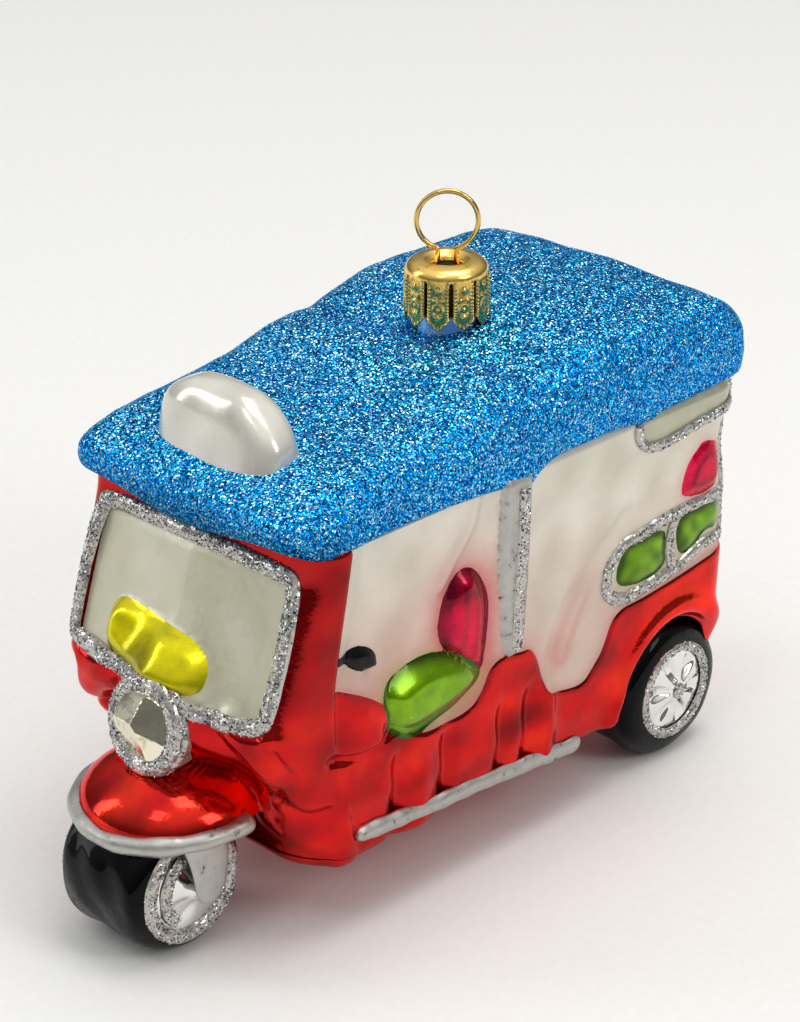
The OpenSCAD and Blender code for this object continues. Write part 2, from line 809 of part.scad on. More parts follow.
module wire_hanger() color(gold)
    translate([0, neck_y, 0]) rotate([0, 0, loop_turn]) union() {
        translate([0, 0, loop_z]) rotate([90, 0, 0])
            rotate_extrude() translate([loop_r, 0]) circle(d = wire_d, $fn = 24);
        both() translate([leg_x, 0, loop_z - leg_z]) rotate([0, 180 - splay, 0])
            cylinder(h = leg_drop / cos(splay), d = wire_d, $fn = 24);
    }

roof_shell();
roof_sign();
cab_shell();
front_panel();
windscreen();
windscreen_frame();
number_panel();
headlamp_housing();
headlamp_lens();
front_fender();
fender_trim();
fork_left();
fork_right();
front_tyre();
front_hub_left();
front_hub_right();
front_hub_rings();
lower_body();
sill_left();
sill_right();
pillar_left();
pillar_right();
pillar_glitter();
driver_backrests();
driver_cushions();
handlebar_grips();
window_band();
window_trim();
passenger_rails();
passenger_backrests();
passenger_cushions();
rear_tyre_left();
rear_tyre_right();
rear_hub_left();
rear_hub_right();
rear_hub_rings();
neck();
crown_cap();
wire_hanger();
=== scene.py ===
# %% [markdown]
# # A blown-glass three-wheeler for a Christmas tree
# The real ornament is one bubble of glass, blown in a mould, silvered inside and painted
# outside with clear lacquers, satin paint and glue lines full of glitter. A sprung gold cap
# sits on its neck. The CAD frame gives the pieces their places. Here each of them gets its
# soft blown shape and its finish.

# %% The frame
import math

import bpy
import numpy as np
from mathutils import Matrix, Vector


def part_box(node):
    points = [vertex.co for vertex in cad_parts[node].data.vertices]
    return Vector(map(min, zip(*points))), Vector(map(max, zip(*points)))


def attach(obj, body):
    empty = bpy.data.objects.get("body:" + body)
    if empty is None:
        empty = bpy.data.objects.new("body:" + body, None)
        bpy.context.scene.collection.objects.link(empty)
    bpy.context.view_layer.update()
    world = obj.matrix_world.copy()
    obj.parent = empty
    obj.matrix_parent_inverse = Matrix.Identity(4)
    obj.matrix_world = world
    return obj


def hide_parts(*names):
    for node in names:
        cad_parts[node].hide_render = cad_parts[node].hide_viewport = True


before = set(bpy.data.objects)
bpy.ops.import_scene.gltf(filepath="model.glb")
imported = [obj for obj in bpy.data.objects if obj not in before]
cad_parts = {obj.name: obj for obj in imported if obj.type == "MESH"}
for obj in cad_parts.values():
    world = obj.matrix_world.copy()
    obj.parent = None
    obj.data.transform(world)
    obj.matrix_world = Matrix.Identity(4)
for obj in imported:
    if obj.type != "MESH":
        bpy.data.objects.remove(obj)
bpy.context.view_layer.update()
MM = 0.001
scene = bpy.context.scene

# %% [markdown]
# ## The camera
# A long lens just under half a metre away keeps the ornament's lines nearly parallel, as a
# catalogue shows such a thing. The camera is made first, so that any early render is framed.

# %% The camera
VIEW_AZIMUTH = math.radians(43.58)
VIEW_ELEVATION = math.radians(25.72)
CAMERA_DISTANCE = 463.66
AIM = Vector((0, 7.78, 50.57))
LENS, SENSOR = 105.7, 36

back = Vector((
    math.sin(VIEW_AZIMUTH) * math.cos(VIEW_ELEVATION),
    -math.cos(VIEW_AZIMUTH) * math.cos(VIEW_ELEVATION),
    math.sin(VIEW_ELEVATION)))
camera_data = bpy.data.cameras.new("camera")
camera_data.lens = LENS
camera_data.sensor_width = SENSOR
camera = bpy.data.objects.new("camera", camera_data)
camera.location = (AIM + back * CAMERA_DISTANCE) * MM
camera.rotation_mode = "QUATERNION"
camera.rotation_quaternion = (-back).to_track_quat("-Z", "Y")
scene.collection.objects.link(camera)
scene.camera = camera
scene.view_settings.view_transform = "Standard"
print("camera at", [round(v, 3) for v in camera.location])

# %% [markdown]
# ## Stations
# Every size below starts from a box of the CAD frame: where the axles are, where the
# pillar stands, how high the belly is. All lengths are in millimetres until a mesh is made.
# The wall lies a pillar's thickness behind the pillar's face, and the fender's finished rim
# is a little smaller than the CAD ring and set a little further back.

# %% Stations
def box_mm(node):
    """Lowest and highest corner of a CAD node, in millimetres."""
    low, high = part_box(node)
    return np.array(low) / MM, np.array(high) / MM


def middle(node):
    """Centre of a CAD node's box."""
    low, high = box_mm(node)
    return (low + high) / 2


PILLAR_PROUD = 1.5
LENS_HALF = 5.2
RIM_INSET, RIM_SETBACK = 2.7, 2.2

pillar_low, pillar_high = box_mm("pillar_left")
PILLAR_Y = (pillar_low[1] + pillar_high[1]) / 2
WALL_HALF = pillar_high[0] - PILLAR_PROUD
EAVE_Z = pillar_high[2]
PANEL_Y = box_mm("cab_shell")[0][1]
BACK_Y = box_mm("cab_shell")[1][1]
FLOOR_Z = box_mm("lower_body")[0][2]
SCREEN_Z = box_mm("windscreen_frame")[0][2]
LAMP_Z = box_mm("headlamp_lens")[0][2] + LENS_HALF
RIM_LOW, RIM_HIGH = box_mm("fender_trim")
RIM_R = RIM_HIGH[0] - RIM_INSET
RIM_Y = RIM_LOW[1] + RIM_HIGH[0] + RIM_SETBACK
RIM_Z = (RIM_LOW[2] + RIM_HIGH[2]) / 2
FRONT_AXLE = middle("front_tyre")
FRONT_R = FRONT_AXLE[2]
REAR_AXLE = middle("rear_tyre_left")
REAR_R = REAR_AXLE[2]
REAR_INNER = box_mm("rear_tyre_left")[0][0]
print("pillar", PILLAR_Y, "wall", WALL_HALF, "eave", EAVE_Z, "axles", FRONT_AXLE, REAR_AXLE)

# %% [markdown]
# ## Small tools
# Blown glass has no sharp corner, so nearly every shape below is made of soft steps, soft
# broken lines and rounded outlines. These few functions work on whole arrays at once.

# %% Soft steps and lines
def smooth(t):
    """0 below 0, 1 above 1, and 3t^2 - 2t^3 between, which starts and ends level."""
    t = np.clip(t, 0, 1)
    return t * t * (3 - 2 * t)


def step_up(depth, width):
    """A soft step centred on an outline: 0 outside it, 1 inside it, over a given width."""
    return smooth(0.5 + depth / width)


def dome(depth, reach):
    """A quarter sine: 0 at an outline, rising to 1 at a given depth inside it."""
    return np.sin(np.clip(depth / reach, 0, 1) * np.pi / 2)


def ridge(distance, width):
    """A soft hump of height 1 along a line: a bell curve of the distance."""
    return np.exp(-((distance / width) ** 2))


def soft_max(a, b, width):
    """The larger of a and b, with a fillet of the given width where they cross."""
    mix = np.clip(0.5 + 0.5 * (a - b) / width, 0, 1)
    return b + (a - b) * mix + width * mix * (1 - mix)


def soft_line(x, points, blur=1.2):
    """A broken line through points, averaged over a window, so that its corners are round."""
    px, py = np.array(points, float).T
    return np.mean([np.interp(x + s, px, py) for s in np.linspace(-blur, blur, 9)], axis=0)


def lumps(points, size, seed, waves=12):
    """Soft hills about one size apart: a sum of sine waves in random directions, near -1 to 1."""
    rng = np.random.default_rng(seed)
    directions = rng.normal(size=(waves, 3))
    directions /= np.linalg.norm(directions, axis=1, keepdims=True)
    phases = rng.uniform(0, 2 * np.pi, waves)
    total = sum(np.sin(points @ d * (2 * np.pi / size) + p) for d, p in zip(directions, phases))
    return total * 1.6 / waves


print("a soft step at a quarter of its width:", float(smooth(0.25)))


# %% Outlines
def round_off(points, times=2, closed=True):
    """Cuts every corner at a quarter and three quarters of its sides, again and again."""
    line = np.array(points, float)
    for _ in range(times):
        ahead = np.roll(line, -1, axis=0) if closed else line[1:]
        here = line if closed else line[:-1]
        cut = np.stack([0.75 * here + 0.25 * ahead, 0.25 * here + 0.75 * ahead], axis=1)
        cut = cut.reshape(-1, 2)
        line = cut if closed else np.vstack([line[:1], cut, line[-1:]])
    return line


def sides(line, closed):
    """The start and end of each side of a line."""
    ends = np.roll(line, -1, axis=0) if closed else line[1:]
    return zip(line if closed else line[:-1], ends)


def distance_to(u, v, line, closed=False):
    """Distance to a broken line: on each side the nearest point is found by dropping a
    perpendicular, held between the side's ends, and the least distance is kept."""
    best = np.full(np.shape(u), 1e9)
    for (au, av), (bu, bv) in sides(np.asarray(line), closed):
        du, dv = bu - au, bv - av
        t = np.clip(((u - au) * du + (v - av) * dv) / (du * du + dv * dv + 1e-12), 0, 1)
        best = np.minimum(best, (u - au - t * du) ** 2 + (v - av - t * dv) ** 2)
    return np.sqrt(best)


def depth_in(u, v, outline):
    """Signed distance to a closed outline, positive inside. A point is inside if a level
    line from it crosses the outline an odd number of times."""
    inside = np.zeros(np.shape(u), bool)
    for (au, av), (bu, bv) in sides(outline, True):
        if abs(bv - av) > 1e-12:
            crosses = (av > v) != (bv > v)
            inside ^= crosses & (u < (bu - au) * (v - av) / (bv - av) + au)
    away = distance_to(u, v, outline, True)
    return np.where(inside, away, -away)


def drawn(points, y=None, times=2, closed=True):
    """A closed outline of the side, with rounded corners, drawn as steps from the pillar's
    middle (or another y) and the belly's level."""
    start = np.array([PILLAR_Y if y is None else y, FLOOR_Z])
    return round_off(np.array(points, float) + start, times, closed)


def bowed(points, y=None):
    """An open line of the side, drawn in the same steps."""
    return drawn(points, y, closed=False)


print("a square has", len(round_off([(0, 0), (1, 0), (1, 1), (0, 1)])), "points when rounded")


# %% [markdown]
# ## Meshes
# A shape is a grid of points, worked out from two numbers that run over the surface. The
# grid's faces are the same every time, so one function makes them for all.

# %% From arrays to Blender
def grid_triangles(rows, columns, wrap=True):
    """Two triangles for each cell of a grid. With wrap, the last column joins the first."""
    across = columns if wrap else columns - 1
    r, c = np.meshgrid(np.arange(rows - 1), np.arange(across), indexing="ij")
    n = (c + 1) % columns
    a, b = r * columns + c, r * columns + n
    d, e = (r + 1) * columns + c, (r + 1) * columns + n
    low = np.stack([a, b, e], axis=-1).reshape(-1, 3)
    high = np.stack([a, e, d], axis=-1).reshape(-1, 3)
    return np.vstack([low, high])


WELD = 0.004


def welded(points, triangles, values=None):
    """Merges points that lie within a few thousandths of each other and drops the faces
    that shrink to a line."""
    keys = np.round(points / WELD).astype(np.int64)
    _, first, where = np.unique(keys, axis=0, return_index=True, return_inverse=True)
    triangles = where.reshape(-1)[triangles]
    a, b, c = triangles.T
    triangles = triangles[(a != b) & (b != c) & (c != a)]
    return points[first], triangles, None if values is None else values[first]


def normals_of(points, triangles):
    """The direction in which each point faces: the sum of its faces' directions."""
    a, b, c = (points[triangles[:, i]] for i in range(3))
    face = np.cross(b - a, c - a)
    total = np.zeros_like(points)
    for i in range(3):
        np.add.at(total, triangles[:, i], face)
    return total / np.maximum(np.linalg.norm(total, axis=1, keepdims=True), 1e-12)


cell_faces = grid_triangles(2, 4)
print("a ring of four cells has", len(cell_faces), "triangles")

# %% [markdown]
# One function turns the arrays into an object of the frame: it says which body the piece
# rides on and which CAD nodes it stands for, and gives it its material.

# %% A piece of the frame
made = {}


def piece(name, points, triangles, material, nodes=(), body="glass", paint=None,
          sharp=None):
    """Makes a mesh object from arrays in millimetres, gives it its material and its colour
    attribute, from one colour or one for each point, and lets it ride on its CAD body and
    stand for its CAD nodes. Edges that bend more than sharp degrees stay crisp."""
    mesh = bpy.data.meshes.new(name)
    mesh.from_pydata(points * MM, [], triangles.tolist())
    mesh.polygons.foreach_set("use_smooth", np.ones(len(mesh.polygons), bool))
    if paint is not None:
        layer = mesh.color_attributes.new("paint", "FLOAT_COLOR", "POINT")
        paint = np.broadcast_to(paint, points.shape)
        rgba = np.hstack([np.clip(paint, 0, 1), np.ones((len(paint), 1))])
        layer.data.foreach_set("color", rgba.ravel())
    if sharp:
        mesh.set_sharp_from_angle(angle=math.radians(sharp))
    mesh.materials.append(material)
    mesh.update()
    thing = bpy.data.objects.new(name, mesh)
    scene.collection.objects.link(thing)
    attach(thing, body)
    if nodes:
        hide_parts(*nodes)
    made[name] = len(triangles)
    return thing


def joined(parts):
    """Several meshes, each (points, triangles, paint), as one. The paint is one colour or one
    for each point."""
    points = np.vstack([p for p, _, _ in parts])
    starts = np.cumsum([0] + [len(p) for p, _, _ in parts[:-1]])
    triangles = np.vstack([t + s for (_, t, _), s in zip(parts, starts)])
    return points, triangles, np.vstack([np.broadcast_to(c, p.shape) for p, _, c in parts])


def mirrored(points, triangles):
    """The same mesh on the other side, its faces turned so that they still point out."""
    return points * np.array([-1, 1, 1]), triangles[:, ::-1]


# %% [markdown]
# ## Finishes
# Silvered glass shows its lacquer as a colour on a mirror, under a hard clear gloss. So a
# lacquer is a metallic surface with a clear coat. Its colour is an attribute of the mesh,
# worked out with the shape, which lets paint run thin and overlap softly as on the real
# ornament. Noise in the material adds the streaks and specks of a brush.

# %% Colours
def tint(red, green, blue):
    """A screen colour from 0 to 255 as the linear numbers that Blender reckons with."""
    c = np.array([red, green, blue]) / 255
    return np.where(c <= 0.04045, c / 12.92, ((c + 0.055) / 1.055) ** 2.4)


RED = tint(226, 12, 16)
DEEP_RED = tint(128, 0, 8)
ORANGE_RED = tint(255, 56, 26)
PEARL = tint(214, 208, 192)
PANE = tint(206, 203, 176)
BLUSH_AND_SHADE = tint(206, 150, 134)
PINK = tint(222, 4, 66)
DARK_PINK = tint(110, 2, 30)
GREEN = tint(126, 178, 4)
DARK_GREEN = tint(40, 70, 2)
YELLOW = tint(244, 232, 0)
OLIVE_SHADE = tint(140, 132, 4)
BLACK = tint(3, 3, 4)
SILVER = tint(196, 196, 194)
WARM_WHITE = tint(244, 240, 228)
ROSE = tint(214, 110, 104)
RED_BREATH = tint(200, 90, 90)
WINE = tint(110, 2, 14)
CUSHION_SHADE_BROWN = tint(150, 60, 30)
PALE_PANE = tint(222, 219, 200)
BAND_SHADE = tint(176, 178, 160)
BRIGHT_SILVER = tint(240, 240, 240)
SIGN_WHITE = tint(236, 232, 220)
SIGN_SHADE = tint(206, 204, 192)
print("the red lacquer as linear numbers:", np.round(RED, 3))


# %% Nodes
def new_material(name):
    """An empty node material, its principled shader and a function that adds linked nodes."""
    material = bpy.data.materials.new(name)
    material.use_nodes = True
    tree = material.node_tree
    shader = tree.nodes["Principled BSDF"]
    where = tree.nodes.new("ShaderNodeTexCoord")

    def add(kind, links=(), **settings):
        node = tree.nodes.new("ShaderNode" + kind)
        for key, value in settings.items():
            if hasattr(node, key):
                setattr(node, key, value)
            else:
                node.inputs[key.replace("_", " ")].default_value = value
        for socket, source in dict(links).items():
            tree.links.new(source, node.inputs[socket])
        return node

    return material, tree, shader, where.outputs["Object"], add


def link(tree, source, shader, socket):
    """Joins a node's output to one of the shader's sockets."""
    tree.links.new(source, shader.inputs[socket])


def set_all(shader, **values):
    """Sets the shader's own sockets, named with _ for a space."""
    for key, value in values.items():
        shader.inputs[key.replace("_", " ")].default_value = value


def ramp_node(add, factor, stops):
    """A colour ramp with the given (place, colour) stops."""
    node = add("ValToRGB", {"Fac": factor})
    elements = node.color_ramp.elements
    while len(elements) < len(stops):
        elements.new(0.5)
    for element, (place, colour) in zip(elements, stops):
        element.position = place
        element.color = (*colour, 1)
    return node


# %% Lacquer
STREAKS_PER_METRE, SPECKS_PER_METRE = 230.0, 900.0


def lacquer(name, metallic, roughness, coat, streak=0.25, wave=0.12, edge=(255, 255, 255),
            shine=0.5):
    """Paint on silvered glass: the piece's own colour, broken by brush streaks, under a clear
    coat whose surface is slightly wavy."""
    material, tree, shader, place, add = new_material(name)
    paint = add("Attribute", attribute_name="paint")
    streaks = add("TexNoise", {"Vector": place}, Scale=STREAKS_PER_METRE, Detail=4.0,
                  Roughness=0.6)
    specks = add("TexNoise", {"Vector": place}, Scale=SPECKS_PER_METRE, Detail=2.0)
    level = add("MapRange", {"Value": streaks.outputs["Fac"]}, From_Min=0.3, From_Max=0.7,
                To_Min=1.0 - streak, To_Max=1.0 + streak * 0.6)
    shaded = add("VectorMath", {0: paint.outputs["Color"]}, operation="SCALE")
    tree.links.new(level.outputs["Result"], shaded.inputs["Scale"])
    link(tree, shaded.outputs["Vector"], shader, "Base Color")
    rough = add("MapRange", {"Value": specks.outputs["Fac"]}, From_Min=0.3, From_Max=0.7,
                To_Min=roughness * 0.8, To_Max=roughness * 1.25)
    link(tree, rough.outputs["Result"], shader, "Roughness")
    bump = add("Bump", {"Height": streaks.outputs["Fac"]}, Strength=wave, Distance=0.0006)
    link(tree, bump.outputs["Normal"], shader, "Normal")
    coat_bump = add("Bump", {"Height": streaks.outputs["Fac"]}, Strength=wave * 0.6,
                    Distance=0.0004)
    link(tree, coat_bump.outputs["Normal"], shader, "Coat Normal")
    set_all(shader, Metallic=metallic, Coat_Weight=coat, Coat_Roughness=0.04, Coat_IOR=1.4,
            Specular_Tint=(*tint(*edge), 1), Specular_IOR_Level=shine)
    return material


# %% The ornament's lacquers
red_lacquer = lacquer("red_lacquer", 0.9, 0.13, 0.4, streak=0.22, wave=0.2, edge=(255, 90, 70))
pink_lacquer = lacquer("pink_lacquer", 0.7, 0.24, 0.45, edge=(255, 90, 140))
green_lacquer = lacquer("green_lacquer", 0.65, 0.22, 0.5, edge=(200, 230, 90))
yellow_lacquer = lacquer("yellow_lacquer", 0.5, 0.24, 0.45, edge=(255, 250, 120))
black_lacquer = lacquer("black_lacquer", 0.0, 0.4, 0.3, streak=0.3, wave=0.3,
                        edge=(60, 60, 64), shine=0.15)
pearl_lacquer = lacquer("pearl_lacquer", 0.3, 0.42, 0.12, streak=0.05, wave=0.05)
pane_satin = lacquer("pane_satin", 0.45, 0.4, 0.25, streak=0.06, wave=0.06)
sign_pearl = lacquer("sign_pearl", 0.35, 0.22, 0.9, streak=0.03, wave=0.06)
print("lacquers:", [m.name for m in bpy.data.materials if "lacquer" in m.name])


# %% [markdown]
# Glitter is a crowd of tiny mirrors. On the roof they are too many to model one by one, so a
# cell pattern gives each speck its own tilt and its own brightness, up to near-white painted
# glints. The tilt goes into the normal, which makes single specks flash as they would. Coarser
# flakes lie on top as mesh.

# %% Glitter
def glitter(name, cells, roughness, tilt, stops=None, metallic=0.9, edge=(255, 255, 255)):
    """Cells of random tilt. With stops, each cell also has its own brightness on that ramp,
    times the mesh's own shade. Without, the colour is the mesh's own, one to each flake."""
    material, tree, shader, place, add = new_material(name)
    cell = add("TexVoronoi", {"Vector": place}, Scale=float(cells), Randomness=1.0)
    colour = add("Attribute", attribute_name="paint").outputs["Color"]
    if stops:
        grey = add("SeparateColor", {"Color": cell.outputs["Color"]})
        speck = ramp_node(add, grey.outputs["Red"], stops).outputs["Color"]
        colour = add("VectorMath", {0: speck, 1: colour}, operation="MULTIPLY").outputs["Vector"]
    link(tree, colour, shader, "Base Color")
    around = add("VectorMath", {0: cell.outputs["Color"]}, operation="SUBTRACT")
    around.inputs[1].default_value = (0.5, 0.5, 0.5)
    turned = add("VectorMath", {0: around.outputs["Vector"]}, operation="SCALE")
    turned.inputs["Scale"].default_value = tilt
    surface = add("NewGeometry")
    leaning = add("VectorMath", {0: turned.outputs["Vector"], 1: surface.outputs["Normal"]},
                  operation="ADD")
    unit = add("VectorMath", {0: leaning.outputs["Vector"]}, operation="NORMALIZE")
    link(tree, unit.outputs["Vector"], shader, "Normal")
    set_all(shader, Metallic=metallic, Roughness=roughness, Specular_Tint=(*tint(*edge), 1))
    return material


# The ramp's brightest stops, up to near white, are painted glints.
ROOF_STOPS = [(0.0, tint(0, 50, 122)), (0.3, tint(0, 106, 206)), (0.62, tint(0, 160, 248)),
              (0.84, tint(60, 214, 255)), (1.0, tint(230, 252, 255))]
blue_glitter = glitter("blue_glitter", 4600, 0.24, 1.2, ROOF_STOPS, metallic=0.92,
                       edge=(90, 190, 255))
blue_flakes = glitter("blue_flakes", 900, 0.2, 0.25)
silver_glitter = glitter("silver_glitter", 900, 0.16, 0.3, metallic=0.6)
print("roof glitter:", len(ROOF_STOPS), "shades of blue in its ramp")


# %% Metals and glass
def metal(name, colour, dark, roughness, spots, threshold, bump_depth=0.0, paint=False):
    """A metal with darker patches: noise above a threshold mixes in the second colour."""
    material, tree, shader, place, add = new_material(name)
    noise = add("TexNoise", {"Vector": place}, Scale=float(spots), Detail=5.0, Roughness=0.65)
    patch = ramp_node(add, noise.outputs["Fac"],
                      [(threshold, colour), (threshold + 0.12, dark)])
    result = patch.outputs["Color"]
    if paint:
        own = add("Attribute", attribute_name="paint")
        mixed = add("VectorMath", {0: result, 1: own.outputs["Color"]}, operation="MULTIPLY")
        result = mixed.outputs["Vector"]
    link(tree, result, shader, "Base Color")
    rough = add("MapRange", {"Value": noise.outputs["Fac"]}, From_Min=0.3, From_Max=0.75,
                To_Min=roughness * 0.7, To_Max=roughness * 1.6)
    link(tree, rough.outputs["Result"], shader, "Roughness")
    if bump_depth:
        bump = add("Bump", {"Height": noise.outputs["Fac"]}, Strength=0.5, Distance=bump_depth)
        link(tree, bump.outputs["Normal"], shader, "Normal")
    set_all(shader, Metallic=1.0)
    return material


mirror_silver = metal("mirror_silver", tint(236, 236, 234), tint(150, 120, 70), 0.09, 420, 0.62)
lens_silver = metal("lens_silver", tint(240, 234, 212), tint(190, 184, 150), 0.13, 300, 0.6)
silver_satin = metal("silver_satin", tint(186, 184, 180), tint(96, 88, 66), 0.42, 700, 0.6,
                     bump_depth=0.0002)
gold_cap = metal("gold_cap", tint(255, 216, 120), tint(170, 124, 50), 0.2, 500, 0.6,
                 bump_depth=0.0001, paint=True)
gold_wire = metal("gold_wire", tint(222, 184, 104), tint(130, 100, 46), 0.14, 900, 0.62)

clear_glass, glass_tree, glass_shader, glass_place, glass_add = new_material("clear_glass")
set_all(glass_shader, Base_Color=(0.82, 0.86, 0.88, 1), Metallic=0.7, Roughness=0.12,
        Coat_Weight=1.0)
glass_noise = glass_add("TexNoise", {"Vector": glass_place}, Scale=400.0)
glass_bump = glass_add("Bump", {"Height": glass_noise.outputs["Fac"]}, Strength=0.1,
                       Distance=0.0003)
link(glass_tree, glass_bump.outputs["Normal"], glass_shader, "Normal")
print("materials:", len(bpy.data.materials))

# %% [markdown]
# ## The body's skin
# The whole body below the roof is one skin. A point on it is given by two numbers: s, which
# is y along the side and goes on round the corners as length of arc, and z. The plain skin
# is a rounded box with leaning walls. The nose and tail have their own curved profiles.

# %% The plain skin
NOSE = [(0, -2), (8, -2.8), (14, -5), (17, -6.8), (20.6, -9.5), (25, -10.9), (27.4, -9.6),
        (49, -2.4), (54, -1.7)]
TAIL = [(0, -1.4), (4.3, -0.4), (9.7, 0.4), (17, 0.9), (24.4, 0.8), (32, 0), (35.6, 0),
        (43.3, -1.6), (47.5, -0.9), (50.4, 1.1), (54.6, 0.5)]
TAIL_R = 6
TOP_Z = EAVE_Z + 3
EDGE_R = 2.5
QUARTER = np.pi / 2
WALL_LEAN, WALL_SPREAD = 0.05, 0.03


def wall(y, z):
    """Half width of the body: the walls lean out going up and spread going back. Above the
    eave they lean in again, to stay inside the roof's rolled edge."""
    under_roof = 1.6 * smooth((z - EAVE_Z - 0.4) / 2.6)
    return WALL_HALF + WALL_LEAN * (z - EAVE_Z) + WALL_SPREAD * y - under_roof


def corners(z):
    """The nose's and the tail's y, their corner radii, and the s where each corner ends."""
    nose = PANEL_Y + soft_line(z - FLOOR_Z, NOSE)
    tail = BACK_Y + soft_line(z - FLOOR_Z, TAIL)
    nose_r = 8.5 - 4.9 * smooth((z - FLOOR_Z) / 22)
    return nose, tail, nose_r, nose + nose_r, tail - TAIL_R


def plain(s, z):
    """A point of the plain skin. On the side it is (wall, s). Past a corner's start, s turns
    through the corner as arc length, and what is left runs along the nose or the tail."""
    _, _, nose_r, side_0, side_1 = corners(z)
    turn_0 = np.clip((side_0 - s) / nose_r, 0, QUARTER)
    turn_1 = np.clip((s - side_1) / TAIL_R, 0, QUARTER)
    over_0 = np.maximum(side_0 - s - nose_r * QUARTER, 0)
    over_1 = np.maximum(s - side_1 - TAIL_R * QUARTER, 0)
    x_0 = wall(side_0, z) - nose_r * (1 - np.cos(turn_0)) - over_0
    x_1 = wall(side_1, z) - TAIL_R * (1 - np.cos(turn_1)) - over_1
    x = np.where(s < side_0, x_0, np.where(s > side_1, x_1, wall(s, z)))
    y = np.clip(s, side_0, side_1) - nose_r * np.sin(turn_0) + TAIL_R * np.sin(turn_1)
    return np.stack([x, y, z + 0 * s], axis=-1)


def across(s, z):
    """Distance from the nose's middle, measured round the corner: x on the nose itself."""
    _, _, nose_r, side_0, _ = corners(z)
    return wall(side_0, z) - nose_r + nose_r * QUARTER - (side_0 - s)


def plain_normal(s, z):
    """The plain skin's outward direction: the cross product of its two small steps."""
    e = 0.05
    along = plain(s + e, z) - plain(s - e, z)
    up = plain(s, z + e) - plain(s, z - e)
    n = np.cross(along, up)
    return n / np.maximum(np.linalg.norm(n, axis=-1, keepdims=True), 1e-12)


print("skin width at the eave:", round(float(2 * wall(PILLAR_Y, EAVE_Z)), 1))

# %% [markdown]
# ## What is moulded on the skin
# Each moulded and painted patch has an outline on the skin. The signed distance to that
# outline does two jobs: it shapes the relief, and later it says where one piece ends and the
# next begins.

# %% Outlines of the patches
RED_EDGE = drawn([
    (-60, 32), (-36.7, 31.7), (-33.9, 30.3), (-29.8, 28), (-26.6, 25.6), (-24.9, 23.3),
    (-25.2, 20.9), (-23.2, 19), (-17.9, 16.9), (-12.6, 16.6), (-7.3, 17.1), (-5.3, 19.3),
    (-4, 22.6), (-1.3, 23.7), (3.2, 22.8), (5, 22.7), (6.5, 20.7), (8.3, 15.7), (9.2, 13.2),
    (13.2, 11.9), (17.9, 11.2), (20, 13.3), (22.1, 15.7), (24.2, 21.8), (30.9, 21.8),
    (40.5, 22.8), (52.6, 24.6), (60, 25), (110, 25), (110, -40), (-60, -40)], times=3)
BACKREST = drawn([(-13.9, 36.8), (-14.3, 30.5), (-10.2, 26.3), (-6.3, 22.5), (-4.4, 23.4),
                  (-4, 30), (-4.1, 35), (-5.7, 39), (-8.3, 41.3), (-11.3, 40.8)])
CUSHION = drawn([(-26.7, 26.3), (-23.4, 28.3), (-18.5, 29.7), (-13.3, 28.8), (-7.6, 25.6),
                 (-4.6, 22.4), (-8.4, 18.8), (-16.8, 17.4), (-21.4, 17.2), (-25.2, 19.8)])
GRIP = drawn([(-36.6, 37.2), (-35, 36.2), (-33.2, 36.6), (-30, 36.2), (-27.2, 34.2),
              (-26.8, 31.8), (-29.4, 31.5), (-32.2, 33.0), (-33.8, 34.9), (-35.4, 34.8),
              (-37.2, 36.6)])
PILLAR = drawn([(-3.2, 60), (-3.5, 46), (-3, 38), (-2, 30), (-1.2, 25), (-0.4, 23.2),
                (1.6, 23), (3.2, 24.4), (3.3, 36), (3.1, 46), (2.6, 60)])
BAND = drawn([(-14.6, 60), (-14.5, 51), (-13, 48.9), (-8.9, 48.1), (-3.8, 48.6), (1.3, 49.2),
              (6.5, 49.6), (12, 49.8), (80, 49.8), (80, 60)], REAR_AXLE[1])
PINK_BACK = drawn([(0.8, 45.6), (5.4, 44), (6.3, 37.3), (2.6, 35.6), (-3.3, 36.7),
                   (-3.8, 38.6), (-2.7, 42.5), (-0.4, 44.4)], REAR_AXLE[1])
GREEN_FRONT = drawn([(-7, 33), (-14.8, 32.5), (-17.2, 29.3), (-17, 25.6), (-13.9, 24.6),
                     (-6, 25), (-6.4, 29.7)], REAR_AXLE[1])
GREEN_BACK = drawn([(7.2, 33.4), (0.7, 33.8), (-3.6, 33.4), (-4.2, 30.2), (-2.8, 26),
                    (1.2, 26.6), (3, 29), (6.6, 28.2), (7.6, 30)], REAR_AXLE[1])
PANEL_EDGE = [(0, 5), (2, 5.1), (6, 4.1), (14, 1.7), (23, 0.4), (31.5, 0), (38, 0.7),
              (45.5, 1.8), (58, 3.4)]
SEAT_FOLD = bowed([(-14.2, 40), (-11.6, 43.8), (-8.2, 47.8), (-7.4, 53)])
BAY_FOLD = bowed([(10.8, 17), (12.8, 23), (15.2, 28), (19.8, 32), (26, 38)])
SWEEP_FOLD = bowed([(13, 18), (16, 26), (22, 34), (30, 46)])
DASH_FOLD = bowed([(-36.6, 19.6), (-31.5, 18.6), (-26.5, 18.9), (-24, 20.4)])
GROOVES = (-23, -12.8, -0.5, 5.4)
ARCH_Y, ARCH_Z, ARCH_RY, ARCH_RZ = REAR_AXLE[1] - 2.9, FLOOR_Z, 12.0, 14.4
ARCH_SPREAD = 13
NOTCH_Z = FLOOR_Z + 5
SCREEN_FOOT, SCREEN_HEAD, SCREEN_HALF = SCREEN_Z + 0.6, SCREEN_Z + 20.4, 18.7
PLATE = np.array([(-15.0, 5.2), (-14.6, 2.6), (-11.6, 1.0), (-6, 0.2), (0.6, 0.1), (5.0, 0.4),
                  (7.6, 2.0), (7.4, 5.6), (5.2, 7.8), (1.6, 8.6), (-3.6, 9.0), (-8.6, 9.6),
                  (-12.6, 9.8), (-14.6, 8.2)])
PLATE = round_off(PLATE + (0, SCREEN_Z - 0.7))
